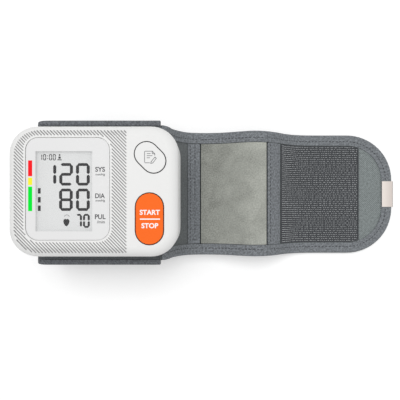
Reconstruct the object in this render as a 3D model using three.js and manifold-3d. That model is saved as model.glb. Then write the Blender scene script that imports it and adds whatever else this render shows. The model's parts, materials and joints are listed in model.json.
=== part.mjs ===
// Wrist blood pressure monitor: a monitor on a preformed C-shaped cuff, with a fold-back strap.
// Lengths are in millimetres. X runs along the strap, Y across it and Z up from the table.
// The origin is on the table under the middle of the casing.

import * as THREE from 'three';
import { mergeVertices } from 'three/addons/utils/BufferGeometryUtils.js';
import Module from 'manifold-3d';

const wasm = await Module();
wasm.setup();

// Clearances
const gap = 0.3; // between two pieces that rest on, or in, each other
const overrun = 2; // by which a cutting solid passes the face that it cuts

// Casing
const caseLength = 78.7;
const caseWidth = 60.7;
const caseHeight = 27;
const caseCorner = 13;
const faceRounding = 5;
const backRounding = 3;
const sideWall = 1.8;
const faceWall = 2.4;
const floorWall = 1.8;
const frontShare = 0.5; // of the height that the front cover takes

// Window and display
const windowMargin = 8.9; // from the casing's left side
const controlsLength = 31.6; // from the window's right side to the casing's
const windowLength = caseLength - windowMargin - controlsLength;
const windowWidth = 46.7;
const windowCorner = 5.6;
const windowShift = 1.1; // along Y
const lensThickness = 1.1;
const lensSink = 0.1;
const ledge = 1.6;
const displayBorder = 4.65; // from each end of the display to the window's
const displayLength = windowLength - displayBorder * 2;
const displayWidth = 40;
const displayShift = 0.7; // of the display's middle, from the window's, along X
const displayThickness = 1.4;
const holderRim = 2;
const holderLip = 2.6;
const holderFloor = 2.4;

// Circuit board and what it carries
const boardMargin = 6.35; // from each end of the board to the casing's side
const boardLength = caseLength - boardMargin * 2;
const boardBorder = 1.5; // past the display, on each side of it
const boardWidth = displayWidth + boardBorder * 2;
const boardThickness = 1.6;
const boardHeight = 16.5; // above the casing's underside
const switchSide = 6;
const switchHeight = 2.4;
const plungerRadius = 1.5;
const plungerHeight = 1.1;
const buzzerRadius = 4.5;
const buzzerHeight = 3;
const sensorSide = 7;
const sensorHeight = 4;
const sensorPortRadius = 1.2;

// Buttons
const travel = 0.6;
const buttonRise = 0.4;
const flangeWidth = 1;
const flangeThickness = 1;
const stemRadius = 1.5;
const startRadius = 6.3;
const startLength = 23.45;
const startMargin = 13.25; // from the casing's right side to the button's middle
const startShift = 12.6; // towards the front edge
const memoryRadius = 5.42;
const memoryLength = 15.46;
const memoryMargin = 12.95;
const memoryShift = 15.48; // towards the rear edge

// Screws
const screwRow = 24.4; // from the middle, along Y
const screwFromBay = 3.65; // from the battery bay's wall to the first column
const screwFromSide = 23.75; // from the second column to the casing's right side
const screwRadius = 1.1;
const screwLength = 15.5;
const headRadius = 2.1;
const headHeight = 1.4;
const counterbore = 5;
const bossRadius = 2.5;
const towerRadius = 3.2;

// Battery bay
const cellRadius = 5.25;
const cellLength = 44.5;
const cellEdge = 0.35;
const nubRadius = 1.9;
const nubHeight = 1;
const bayMargin = 2.5; // from the casing's inner left side to the first cell
const ribThickness = 1.2;
const endRib = 1;
const terminalThickness = 0.4;
const terminalWidth = 8;
const springRadius = 3;
const springLength = 4;
const springTipShare = 0.7; // of the spring's radius, at the cell
const doorHeight = 11;
const doorSill = 1.9; // above the casing's underside
const doorDepth = 5.4;

// Pump, valve and air line
const pumpRadius = 6.5;
const pumpLength = 20;
const pumpMargin = 12; // from the casing's right side to the pump's axis
const pumpEnd = 5.5; // from the casing's front side
const pumpHeadLength = 12;
const valveLength = 9;
const valveWidth = 16;
const valveHeight = 9;
const valveInset = 3;
const nozzleRadius = 2;
const nozzleFlange = 3.5;
const nozzleFlangeHeight = 1;
const nozzleHeight = 4; // above the casing's floor
const nozzleY = -4;
const hoseRadius = 1.7;
const hoseBore = 0.8;

// Cuff
const cuffHeight = 43;
const cuffWidth = 74.6;
const cuffLength = 64.7; // along the top
const cuffEnd = 28.6; // where the strap leaves it
const cuffLip = 40.1; // along the bottom
const topBend = 6.5;
const bottomBend = 18;
const edgeTape = 2.8;
const coverThickness = 1;
const shellThickness = 1.2;
const bladderThickness = 1.4;
const liningThickness = 1;
const shellInset = 1.5;
const bladderInset = 3;
const plateThickness = 1.4;
const plateLength = 50;
const plateWidth = 48;
const plateCorner = 5;

// Strap, along its line from inside the cuff to its tip
const strapWidth = 70;
const tongueLength = 6;
const rootSpan = 29.7;
const seamTapeWidth = 8;
const loopPanelLength = 38.3;
const seamMargin = 0.5;
const foldTapeWidth = 10;
const hookInset = 1;
const hookPanelLength = 52.1;
const endPatchLength = 19.6;
const webThickness = 1.2;
const panelThickness = 0.4;
const tapeWidth = 6.2;
const tapeThickness = 0.4;
const tapeFold = 0.5;
const tipCorner = 26.6;
const clipWidth = 15.2;
const clipLength = 6.8;
const clipThickness = 0.4;

// Run of the strap over its length, and its height line as shares of that run and of the drop
const strapRunShare = 0.847;
const strapLineShares = [
  [0, 1], [0.025, 1], [0.048, 1], [0.065, 0.9], [0.079, 0.685], [0.105, 0.481], [0.138, 0.332],
  [0.176, 0.279], [0.215, 0.266], [0.261, 0.286], [0.309, 0.355], [0.354, 0.445], [0.396, 0.509],
  [0.428, 0.501], [0.458, 0.453], [0.491, 0.363], [0.525, 0.23], [0.557, 0.125], [0.592, 0.051],
  [0.635, 0.01], [0.692, 0], [0.77, 0], [0.842, 0], [0.92, 0], [1, 0],
];

// Ring at the cuff's lip
const ringRod = 1.5; // half of the bar's thickness
const ringEdge = 0.9; // rounding of the bar's edges
const ringHalfWidth = 37;
const ringReach = 9.5; // between the axes of its two long sides
const ringCorner = 2;
const ringTabThickness = 0.8;
const ringTabInset = 5; // of the tab, into the lip
const ringTabHalfWidth = 30;
const ringOffset = 3.6; // from the lip to the ring's axis

// Fineness of round and bent surfaces
const cornerSegments = 6;
const roundingSegments = 4;
const roundSegments = 16;
const bendStep = 2.4; // between the bends of a strap piece
const tipSegments = 8;
const bendSegments = 7; // in each bend of the cuff

// Heights that follow
const caseBase = cuffHeight + gap + plateThickness + gap;
const faceTop = caseBase + caseHeight;
const splitHeight = faceTop - caseHeight * frontShare;
const ceiling = faceTop - faceWall;
const floorTop = caseBase + floorWall;
const boardBottom = caseBase + boardHeight;
const boardTop = boardBottom + boardThickness;
const recessDepth = lensThickness + lensSink + gap;
const halfLength = caseLength / 2;
const halfWidth = caseWidth / 2;
const windowX = windowMargin + windowLength / 2 - halfLength;
const displayX = windowX - displayShift - ledge;

// Strap stations, as distances along its line
const tapeStart = tongueLength + rootSpan;
const liftAt = tapeStart + seamTapeWidth + gap;
const loopStart = liftAt + gap;
const foldAt = loopStart + loopPanelLength + seamMargin;
const foldTapeEnd = foldAt + gap + foldTapeWidth;
const hookStart = foldTapeEnd + hookInset;
const hookEnd = hookStart + hookPanelLength;
const strapLength = hookEnd + endPatchLength;
const webHalf = webThickness / 2;
const slotHalf = webHalf + gap;
const tapeHalf = slotHalf + tapeThickness;
const clipHalf = tapeHalf + gap + clipThickness;
const webInset = tapeFold + gap;
const tongueDepth = coverThickness + gap + webHalf;

// Turns a geometry into a solid that can be joined and cut.
function solid(geometry) {
  const bare = geometry.index ? geometry.clone() : mergeVertices(geometry);
  bare.deleteAttribute('normal');
  bare.deleteAttribute('uv');
  const merged = mergeVertices(bare, gap / 1000);
  return new wasm.Manifold(new wasm.Mesh({
    numProp: 3,
    vertProperties: new Float32Array(merged.attributes.position.array),
    triVerts: new Uint32Array(merged.index.array),
  }));
}

// Turns a solid back into a geometry.
function geometryOf(body) {
  const mesh = body.getMesh();
  const geometry = new THREE.BufferGeometry();
  geometry.setAttribute('position', new THREE.BufferAttribute(mesh.vertProperties, 3));
  geometry.setIndex(new THREE.BufferAttribute(mesh.triVerts, 1));
  geometry.computeVertexNormals();
  return geometry;
}

function joined(...geometries) {
  const bodies = geometries.map(solid);
  return geometryOf(bodies.slice(1).reduce((all, body) => all.add(body), bodies[0]));
}

function cut(base, ...tools) {
  return geometryOf(tools.reduce((left, tool) => left.subtract(solid(tool)), solid(base)));
}

function overlapOf(first, second) {
  return geometryOf(solid(first).intersect(solid(second)));
}

// A box between two values on each axis.
function box([x0, x1], [y0, y1], [z0, z1]) {
  const geometry = new THREE.BoxGeometry(x1 - x0, y1 - y0, z1 - z0);
  return geometry.translate((x0 + x1) / 2, (y0 + y1) / 2, (z0 + z1) / 2);
}

// An upright cylinder between two heights.
function post(radius, x, y, z0, z1) {
  const geometry = new THREE.CylinderGeometry(radius, radius, z1 - z0, roundSegments);
  return geometry.rotateX(Math.PI / 2).translate(x, y, (z0 + z1) / 2);
}

// A rectangle with round corners around a middle point.
function roundedRect(length, width, radius, x, y) {
  const shape = new THREE.Shape();
  const cx = length / 2 - radius;
  const cy = width / 2 - radius;
  shape.absarc(x + cx, y - cy, radius, -Math.PI / 2, 0);
  shape.absarc(x + cx, y + cy, radius, 0, Math.PI / 2);
  shape.absarc(x - cx, y + cy, radius, Math.PI / 2, Math.PI);
  shape.absarc(x - cx, y - cy, radius, Math.PI, Math.PI * 1.5);
  shape.closePath();
  return shape;
}

// A stadium around a middle point, turned by an angle from the Y axis.
function stadium(length, radius, x, y, turn) {
  const shape = new THREE.Shape();
  const reach = length / 2 - radius;
  const dx = -Math.sin(turn) * reach;
  const dy = Math.cos(turn) * reach;
  shape.absarc(x + dx, y + dy, radius, turn, turn + Math.PI);
  shape.absarc(x - dx, y - dy, radius, turn + Math.PI, turn + Math.PI * 2);
  shape.closePath();
  return shape;
}

// A plate of a shape between two heights.
function plate(shape, z0, z1) {
  const options = { depth: z1 - z0, bevelEnabled: false, curveSegments: cornerSegments };
  return new THREE.ExtrudeGeometry(shape, options).translate(0, 0, z0);
}

// The casing's outline drawn in by an inset, between two heights, with rounded top and bottom edges.
function caseBlock(inset, rounding, z0, z1) {
  const corner = caseCorner - inset;
  const shape = roundedRect(caseLength - inset * 2, caseWidth - inset * 2, corner, 0, 0);
  const geometry = new THREE.ExtrudeGeometry(shape, {
    depth: z1 - z0 - rounding * 2,
    bevelThickness: rounding,
    bevelSize: rounding,
    bevelOffset: -rounding,
    bevelSegments: roundingSegments,
    curveSegments: cornerSegments,
  });
  return geometry.translate(0, 0, z0 + rounding);
}

// Everything above, or below, a height.
function slab(z0, z1) {
  return box([-caseLength, caseLength], [-caseLength, caseLength], [z0, z1]);
}

function screwPlaces() {
  const columns = [bayWall() + screwFromBay, halfLength - screwFromSide];
  return columns.flatMap((x) => [-1, 1].map((side) => [x, side * screwRow]));
}

function windowShape(inset) {
  const corner = windowCorner - inset;
  const [length, width] = [windowLength - inset * 2, windowWidth - inset * 2];
  return roundedRect(length, width, corner, windowX, windowShift);
}

function startShape(outset) {
  const length = startLength + outset * 2;
  return stadium(length, startRadius + outset, halfLength - startMargin, -startShift, 0);
}

function memoryShape(outset) {
  const length = memoryLength + outset * 2;
  return stadium(length, memoryRadius + outset, halfLength - memoryMargin, memoryShift, Math.PI / 4);
}

function frontCover() {
  const outside = caseBlock(0, faceRounding, caseBase, faceTop);
  const inside = caseBlock(sideWall, faceRounding - sideWall, floorTop, ceiling);
  const shell = cut(outside, inside, slab(caseBase - overrun, splitHeight));
  const screwTop = screwTipHeight() + gap;
  const bosses = screwPlaces().map(([x, y]) => post(bossRadius, x, y, splitHeight + gap, ceiling + gap));
  const pilots = screwPlaces().map(([x, y]) => {
    return post(screwRadius + gap, x, y, splitHeight - overrun, screwTop);
  });
  return cut(
    joined(shell, ...bosses),
    ...pilots,
    plate(windowShape(-gap), faceTop - recessDepth, faceTop + overrun),
    plate(windowShape(ledge), ceiling - overrun, faceTop + overrun),
    plate(startShape(gap), ceiling - overrun, faceTop + overrun),
    plate(memoryShape(gap), ceiling - overrun, faceTop + overrun),
  );
}

function displayWindow() {
  const top = faceTop - lensSink;
  return plate(windowShape(0), top - lensThickness, top);
}

function displayGlass() {
  const top = ceiling - gap;
  const x = displayX;
  const half = displayLength / 2;
  return box([x - half, x + half], [-displayWidth / 2, displayWidth / 2], [top - displayThickness, top]);
}

function displayHolder() {
  const side = displayLength / 2 + gap;
  const across = displayWidth / 2 + gap;
  const seat = ceiling - gap - displayThickness - gap;
  const top = ceiling - gap;
  const frame = box(
    [displayX - side - holderRim, displayX + side + holderRim],
    [-across - ledge / 2, across + ledge / 2],
    [boardTop + gap, top],
  );
  const pocket = box([displayX - side, displayX + side], [-across, across], [seat, top + overrun]);
  const well = box(
    [displayX - side + holderLip, displayX + side - holderLip],
    [-across + holderLip, across - holderLip],
    [boardTop + gap + holderFloor, seat + overrun],
  );
  return cut(frame, pocket, well);
}

function circuitBoard() {
  const [x, y] = [boardLength / 2, boardWidth / 2];
  const notches = screwPlaces().map(([cx, cy]) => {
    return post(bossRadius + gap, cx, cy, boardBottom - overrun, boardTop + overrun);
  });
  return cut(box([-x, x], [-y, y], [boardBottom, boardTop]), ...notches);
}

function plungerTop() {
  return boardTop + gap + switchHeight + plungerHeight;
}

function tactSwitch(x, y) {
  const half = switchSide / 2;
  const seat = boardTop + gap;
  const body = box([x - half, x + half], [y - half, y + half], [seat, seat + switchHeight]);
  return joined(body, post(plungerRadius, x, y, seat + switchHeight / 2, plungerTop()));
}

// A button: its cap in the cover's hole, a flange under the cover and a stem over its switch.
function button(shapeAt, x, y) {
  const flangeTop = ceiling - gap;
  return joined(
    plate(shapeAt(0), flangeTop - flangeThickness / 2, faceTop + buttonRise),
    plate(shapeAt(flangeWidth), flangeTop - flangeThickness, flangeTop),
    post(stemRadius, x, y, plungerTop() + travel + gap, flangeTop - flangeThickness / 2),
  );
}

function buzzer() {
  const x = displayX + displayLength / 2 + holderRim + buzzerRadius * 2;
  return post(buzzerRadius, x, memoryShift / 2, boardTop + gap, boardTop + gap + buzzerHeight);
}

function pressureSensor() {
  const top = boardBottom - gap;
  const half = sensorSide / 2;
  const y = memoryShift;
  const body = box([-half, half], [y - half, y + half], [top - sensorHeight, top]);
  const port = post(sensorPortRadius, 0, y, top - sensorHeight * 1.5, top - sensorHeight / 2);
  return joined(body, port);
}

// Where the door closes the battery bay, drawn in by a gap for the door itself.
function doorOpening(inset) {
  const reach = bayHalf() - endRib / 2 - inset;
  const bottom = caseBase + doorSill;
  return box(
    [-halfLength - overrun, -halfLength + doorDepth],
    [-reach, reach],
    [bottom + inset, bottom + doorHeight - inset],
  );
}

function bayHalf() {
  return cellLength / 2 + springLength / 2 + gap + terminalThickness + gap;
}

function cellCentres() {
  const first = -halfLength + sideWall + bayMargin + cellRadius;
  return [first, first + cellRadius * 2 + gap];
}

function bayWall() {
  return cellCentres()[1] + cellRadius + gap;
}

function rearCover() {
  const outside = caseBlock(0, backRounding, caseBase, faceTop);
  const inside = caseBlock(sideWall, backRounding - floorWall, floorTop, ceiling);
  const shell = cut(outside, inside, slab(splitHeight - gap, faceTop + overrun));
  const towerTop = splitHeight - gap;
  const towers = screwPlaces().map(([x, y]) => post(towerRadius, x, y, floorTop - floorWall / 2, towerTop));
  const wall = bayWall();
  const ribEnd = bayHalf() + endRib;
  const ribTop = cellTop();
  const boardHalf = boardWidth / 2;
  const ribs = [
    box([wall, wall + ribThickness], [-ribEnd, ribEnd], [floorTop - floorWall / 2, ribTop]),
    box([wall, wall + ribThickness], [-boardHalf, boardHalf], [ribTop - overrun, boardBottom - gap]),
    ...[-1, 1].map((side) => {
      const ends = [side * bayHalf(), side * ribEnd].sort((a, b) => a - b);
      return box([cellCentres()[0] - cellRadius, wall + gap], ends, [floorTop - floorWall / 2, ribTop]);
    }),
  ];
  const bores = screwPlaces().flatMap(([x, y]) => [
    post(headRadius + gap, x, y, caseBase - overrun, caseBase + counterbore),
    post(screwRadius + gap, x, y, caseBase, towerTop + overrun),
  ]);
  const nozzleHole = nozzleBore(caseBase - overrun, floorTop + overrun);
  return cut(joined(shell, ...towers, ...ribs), ...bores, nozzleHole, doorOpening(0));
}

function batteryDoor() {
  const outside = caseBlock(0, backRounding, caseBase, faceTop);
  const inside = caseBlock(sideWall, backRounding - floorWall, floorTop, ceiling);
  return overlapOf(cut(outside, inside), doorOpening(gap));
}

function screwTipHeight() {
  return caseBase + counterbore - gap + screwLength - headHeight;
}

function screw(x, y) {
  const seat = caseBase + counterbore - gap;
  return joined(
    post(headRadius, x, y, seat - headHeight, seat),
    post(screwRadius, x, y, seat - headHeight / 2, screwTipHeight()),
  );
}

function cellHeight() {
  return floorTop + gap + cellRadius;
}

function cellTop() {
  return cellHeight() + cellRadius;
}

// A cell along Y with its nub at the end that side names, against that end's terminal.
function cell(x, side) {
  const shoulder = cellLength - nubHeight;
  const outline = [
    [0, 0], [cellRadius - cellEdge, 0], [cellRadius, cellEdge], [cellRadius, shoulder - cellEdge],
    [cellRadius - cellEdge, shoulder], [nubRadius, shoulder], [nubRadius, cellLength], [0, cellLength],
  ].map(([r, y]) => new THREE.Vector2(r, y));
  const geometry = new THREE.LatheGeometry(outline, roundSegments);
  const nubAt = cellLength / 2 + springLength / 2;
  geometry.translate(0, nubAt - cellLength, 0);
  if (side < 0) {
    geometry.rotateX(Math.PI);
  }
  return geometry.translate(x, 0, cellHeight());
}

// A contact spring at the flat end of a cell, as the tapered body that its turns fill.
function batterySpring(x, side) {
  const length = springLength - gap;
  const tip = springRadius * springTipShare;
  const geometry = new THREE.CylinderGeometry(tip, springRadius, length, roundSegments);
  geometry.translate(0, (springLength - cellLength - length) / 2 - gap, 0);
  if (side > 0) {
    geometry.rotateZ(Math.PI);
  }
  return geometry.translate(x, 0, cellHeight());
}

function terminal(x0, x1, side) {
  const near = bayHalf() - gap - terminalThickness;
  const ends = [side * near, side * (near + terminalThickness)].sort((a, b) => a - b);
  const z = cellHeight();
  return box([x0, x1], ends, [z - terminalWidth / 2, z + terminalWidth / 2]);
}

function pumpAxis() {
  return [halfLength - pumpMargin, floorTop + gap + pumpRadius];
}

function pumpMotor() {
  const [x, z] = pumpAxis();
  const geometry = new THREE.CylinderGeometry(pumpRadius, pumpRadius, pumpLength, roundSegments);
  return geometry.translate(x, pumpEnd - halfWidth + pumpLength / 2, z);
}

function pumpHead() {
  const [x, z] = pumpAxis();
  const y = pumpEnd - halfWidth + pumpLength + gap;
  const span = [y, y + pumpHeadLength];
  return box([x - pumpRadius, x + pumpRadius], span, [z - pumpRadius, z + pumpRadius]);
}

// Where the valve ends along X.
function valveEnd() {
  return bayWall() + ribThickness + valveInset + valveLength;
}

function releaseValve() {
  const bottom = floorTop + gap;
  const half = valveWidth / 2;
  return box([valveEnd() - valveLength, valveEnd()], [-half, half], [bottom, bottom + valveHeight]);
}

// The nozzle stands midway between the valve and the pump.
function nozzleX() {
  return (valveEnd() + pumpAxis()[0] - pumpRadius) / 2;
}

function nozzleTop() {
  return floorTop + nozzleHeight;
}

function cuffNozzle() {
  const bottom = cuffHeight - bladderDepth() + gap;
  return joined(
    post(nozzleRadius, nozzleX(), nozzleY, bottom, nozzleTop()),
    post(nozzleFlange, nozzleX(), nozzleY, floorTop + gap, floorTop + gap + nozzleFlangeHeight),
  );
}

function airTube() {
  const [x, z] = pumpAxis();
  const start = pumpEnd - halfWidth + pumpLength + gap + pumpHeadLength + gap;
  const end = nozzleX();
  const rise = nozzleTop() + gap;
  const route = new THREE.CatmullRomCurve3([
    new THREE.Vector3(x, start, z),
    new THREE.Vector3(x, start + hoseRadius * 2, z),
    new THREE.Vector3((x * 3 + end) / 4, start + hoseRadius * 4, z),
    new THREE.Vector3(end + hoseRadius, start, z),
    new THREE.Vector3(end, nozzleY / 2, rise + hoseRadius * 2),
    new THREE.Vector3(end, nozzleY, rise + hoseRadius),
    new THREE.Vector3(end, nozzleY, rise),
  ]);
  const section = new THREE.Shape().absarc(0, 0, hoseRadius, 0, Math.PI * 2);
  section.holes.push(new THREE.Path().absarc(0, 0, hoseBore, 0, Math.PI * 2));
  return new THREE.ExtrudeGeometry(section, { extrudePath: route, steps: 18, curveSegments: 4 });
}

// The cuff's outer line, from where the strap leaves it, over the top, round the back and to the lip.
function cuffLine() {
  const left = cuffEnd - cuffLength;
  const path = new THREE.Path();
  path.moveTo(cuffEnd, cuffHeight);
  path.lineTo(left + topBend, cuffHeight);
  path.absarc(left + topBend, cuffHeight - topBend, topBend, Math.PI / 2, Math.PI);
  path.lineTo(left, bottomBend);
  path.absarc(left + bottomBend, bottomBend, bottomBend, Math.PI, Math.PI * 1.5);
  path.lineTo(left + cuffLip, 0);
  return { curve: path, length: path.getLength() };
}

// The strap's middle line, from inside the cuff down to the table and out to its tip.
function strapLine() {
  const startX = cuffEnd - tongueLength;
  const run = strapLength * strapRunShare;
  const drop = cuffHeight - tongueDepth - clipHalf;
  const points = strapLineShares.map(([along, up]) => {
    return new THREE.Vector3(startX + run * along, clipHalf + drop * up, 0);
  });
  const curve = new THREE.CatmullRomCurve3(points);
  curve.arcLengthDivisions = 800;
  return { curve, length: strapLength };
}

const cuffPath = cuffLine();
const strapPath = strapLine();

// The point at a distance along a line, raised by a height across it.
function onLine(line, distance, raise) {
  const share = Math.min(Math.max(distance / line.length, 0), 1);
  const point = line.curve.getPointAt(share);
  const tangent = line.curve.getTangentAt(share);
  return [point.x - tangent.y * raise, point.y + tangent.x * raise];
}

// Even stations along a line between two distances.
function evenStations(from, to) {
  const count = Math.max(1, Math.ceil((to - from) / bendStep));
  return Array.from({ length: count + 1 }, (_, i) => from + ((to - from) * i) / count);
}

// A box bent along a line: stations along it, its two edges across it and two heights from it.
function bent(line, stations, edges, [low, high]) {
  const geometry = new THREE.BoxGeometry(1, 1, 1, stations.length - 1, 1, 1);
  const position = geometry.attributes.position;
  for (let i = 0; i < position.count; i += 1) {
    const station = stations[Math.round((position.getX(i) + 0.5) * (stations.length - 1))];
    const [near, far] = edges(station);
    const raise = position.getZ(i) > 0 ? high : low;
    const [x, z] = onLine(line, station, raise);
    position.setXYZ(i, x, position.getY(i) > 0 ? far : near, z);
  }
  return geometry;
}

// The same width on both sides of the middle.
function even(half) {
  return () => [-half, half];
}

// One edge strip of a band: outset from a half width, on the side that a sign names.
function edge(inner, outer, side) {
  return () => [side * inner, side * outer].sort((a, b) => a - b);
}

// Cuff layers, from outside to inside
function shellDepth() {
  return coverThickness + gap;
}

function bladderDepth() {
  return shellDepth() + shellThickness + gap;
}

function liningDepth() {
  return bladderDepth() + bladderThickness + gap;
}

function cuffDepth() {
  return liningDepth() + liningThickness;
}

function nozzleBore(z0, z1) {
  return post(nozzleRadius + gap, nozzleX(), nozzleY, z0, z1);
}

function outerCover() {
  const half = cuffWidth / 2 - edgeTape - gap;
  const stations = cuffStations(0, cuffPath.length);
  const cover = bent(cuffPath, stations, even(half), [0, coverThickness]);
  return cut(cover, nozzleBore(cuffHeight - bladderDepth(), caseBase));
}

function preformedShell() {
  const half = cuffWidth / 2 - edgeTape - gap - shellInset;
  const stations = cuffStations(tongueLength + gap, cuffPath.length - ringTabInset - gap);
  const depths = [shellDepth(), shellDepth() + shellThickness];
  const bore = nozzleBore(cuffHeight - bladderDepth() - gap, caseBase);
  return cut(bent(cuffPath, stations, even(half), depths), bore);
}

function airBladder() {
  const half = cuffWidth / 2 - edgeTape - gap - bladderInset;
  const stations = cuffStations(bladderInset, cuffPath.length - ringTabInset - gap);
  return bent(cuffPath, stations, even(half), [bladderDepth(), bladderDepth() + bladderThickness]);
}

function innerLining() {
  const half = cuffWidth / 2 - edgeTape - gap;
  const stations = cuffStations(0, cuffPath.length);
  return bent(cuffPath, stations, even(half), [liningDepth(), cuffDepth()]);
}

function cuffBinding(side) {
  const half = cuffWidth / 2;
  const stations = cuffStations(0, cuffPath.length);
  return bent(cuffPath, stations, edge(half - edgeTape, half, side), [0, cuffDepth()]);
}

function mountPlate() {
  const x = cuffEnd - cuffLength / 2;
  const shape = roundedRect(plateLength, plateWidth, plateCorner, x, 0);
  const base = cuffHeight + gap;
  return cut(plate(shape, base, base + plateThickness), nozzleBore(cuffHeight, caseBase));
}

function lipX() {
  return cuffEnd - cuffLength + cuffLip;
}

function ringAxis() {
  return [lipX() + ringOffset, (liningDepth() + coverThickness) / 2];
}

// The tab that is sewn into the lip and loops round the ring's near side.
function ringTab() {
  const [x, z] = ringAxis();
  const inner = ringRod + gap;
  const outer = inner + ringTabThickness;
  const span = [-ringTabHalfWidth, ringTabHalfWidth];
  const tail = box([lipX() - ringTabInset, x], span, [z - webHalf, z + webHalf]);
  return cut(
    joined(tail, rod(outer, x, z, ringTabHalfWidth)),
    rod(inner, x, z, ringTabHalfWidth + overrun),
  );
}

// A rod along Y around the middle.
function rod(radius, x, z, reach) {
  const geometry = new THREE.CylinderGeometry(radius, radius, reach * 2, roundSegments);
  return geometry.translate(x, 0, z);
}

// The ring: a long rectangle of bar with rounded edges, leaning from its tab down to the table.
function strapRing() {
  const [x, z] = ringAxis();
  const middle = ringReach / 2;
  const rim = ringRod - ringEdge;
  const length = ringHalfWidth * 2;
  const shape = roundedRect(ringReach + rim * 2, length + rim * 2, ringCorner + rim, middle, 0);
  shape.holes.push(roundedRect(ringReach - rim * 2, length - rim * 2, ringCorner - rim, middle, 0));
  const geometry = new THREE.ExtrudeGeometry(shape, {
    depth: rim * 2,
    bevelThickness: ringEdge,
    bevelSize: ringEdge,
    bevelSegments: 2,
    curveSegments: cornerSegments / 2,
  });
  const tilt = Math.asin((z - ringRod) / ringReach);
  return geometry.translate(0, 0, -rim).rotateY(tilt).translate(x, 0, z);
}

// Half of the strap's width at a distance along it, drawn in by an inset, with its rounded tip.
function strapHalf(inset) {
  const bend = strapLength - tipCorner;
  const flat = strapWidth / 2 - tipCorner;
  return (distance) => {
    const past = Math.max(distance - bend, 0);
    const radius = tipCorner - inset;
    return flat + Math.sqrt(Math.max(radius * radius - past * past, 0));
  };
}

// Stations along the cuff's line: its flat runs are whole and its two bends are split.
function cuffStations(from, to) {
  const topRun = cuffLength - topBend;
  const topArc = (topBend * Math.PI) / 2;
  const side = cuffHeight - topBend - bottomBend;
  const bottomArc = (bottomBend * Math.PI) / 2;
  const bends = [[topRun, topArc], [topRun + topArc + side, bottomArc]];
  const inner = bends.flatMap(([start, arc]) => {
    return Array.from({ length: bendSegments + 1 }, (_, i) => start + (arc * i) / bendSegments);
  });
  return [from, ...inner.filter((s) => s > from + gap && s < to - gap), to];
}

// Stations that close up round the tip's corners.
function tipStations(from, inset) {
  const bend = strapLength - tipCorner;
  const radius = tipCorner - inset;
  const round = Array.from({ length: tipSegments }, (_, i) => {
    return bend + radius * Math.sin(((i + 1) / tipSegments) * Math.PI / 2);
  });
  return [...evenStations(from, bend), ...round];
}

function tipBand(from, inset, heights) {
  const half = strapHalf(inset);
  return bent(strapPath, tipStations(from, inset), (s) => [-half(s), half(s)], heights);
}

function strapWeb(from, to) {
  const half = strapWidth / 2 - webInset;
  return bent(strapPath, evenStations(from, to), even(half), [-webHalf, webHalf]);
}

// A folded tape along one edge of the strap, with the slot that the web sits in.
function strapBinding(from, to, side) {
  const half = strapWidth / 2;
  const tapeSpan = edge(half - tapeWidth, half, side);
  const tape = bent(strapPath, evenStations(from, to), tapeSpan, [-tapeHalf, tapeHalf]);
  const slotStations = evenStations(Math.max(from - overrun, 0), to + overrun);
  const slot = bent(strapPath, slotStations, edge(0, half - tapeFold, side), [-slotHalf, slotHalf]);
  return cut(tape, slot);
}

// A flat panel on the web between the bindings.
function strapPanel(from, to) {
  const half = strapHalf(tapeWidth + gap);
  const heights = [slotHalf, slotHalf + panelThickness];
  return bent(strapPath, evenStations(from, to), (s) => [-half(s), half(s)], heights);
}

function endBinding() {
  const from = foldAt + gap / 2;
  return cut(
    tipBand(from, 0, [-tapeHalf, tapeHalf]),
    tipBand(from - overrun, tapeWidth, [-tapeHalf - overrun, tapeHalf + overrun]),
    tipBand(from - overrun, tapeFold, [-slotHalf, slotHalf]),
  );
}

function endClip() {
  const tip = onLine(strapPath, strapLength, 0)[0];
  const half = clipWidth / 2;
  const inner = tapeHalf + gap;
  const right = tip + gap + clipThickness;
  const mouth = [right - clipLength - overrun, tip + gap];
  return cut(
    box([right - clipLength, right], [-half, half], [0, clipHalf * 2]),
    box(mouth, [-clipWidth, clipWidth], [clipHalf - inner, clipHalf + inner]),
  );
}

const looks = {
  casing: { color: 0xebebea, roughness: 0.45, metalness: 0 },
  lens: { color: 0xe8e8e8, roughness: 0.15, metalness: 0 },
  display: { color: 0xdbdcdc, roughness: 0.25, metalness: 0 },
  orange: { color: 0xff752d, roughness: 0.4, metalness: 0 },
  board: { color: 0x2f6b3c, roughness: 0.6, metalness: 0 },
  black: { color: 0x2b2b2d, roughness: 0.5, metalness: 0 },
  steel: { color: 0xb8b8b6, roughness: 0.3, metalness: 1 },
  brass: { color: 0xc8a24a, roughness: 0.35, metalness: 1 },
  wrapper: { color: 0x3d6fb0, roughness: 0.4, metalness: 0 },
  hose: { color: 0xd8d8d4, roughness: 0.6, metalness: 0 },
  shell: { color: 0xcfcfca, roughness: 0.5, metalness: 0 },
  bladder: { color: 0x55585a, roughness: 0.7, metalness: 0 },
  cuffCloth: { color: 0x5f6365, roughness: 0.95, metalness: 0 },
  tape: { color: 0x707378, roughness: 0.9, metalness: 0 },
  loops: { color: 0x97a09a, roughness: 1, metalness: 0 },
  hooks: { color: 0x5f6164, roughness: 0.85, metalness: 0 },
  twill: { color: 0x828989, roughness: 0.9, metalness: 0 },
  clip: { color: 0xece2db, roughness: 0.35, metalness: 0.6 },
};

function piece(name, geometry, look) {
  const mesh = new THREE.Mesh(geometry, new THREE.MeshStandardMaterial(looks[look]));
  mesh.name = name;
  return mesh;
}

function unit(...meshes) {
  const group = new THREE.Group();
  group.add(...meshes);
  return group;
}

function buildCasing() {
  return unit(
    piece('front_cover', frontCover(), 'casing'),
    piece('rear_cover', rearCover(), 'casing'),
    ...screwPlaces().map(([x, y], i) => piece(`case_screw_${i + 1}`, screw(x, y), 'steel')),
    piece('display_window', displayWindow(), 'lens'),
    piece('display_glass', displayGlass(), 'display'),
    piece('display_holder', displayHolder(), 'black'),
  );
}

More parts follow.
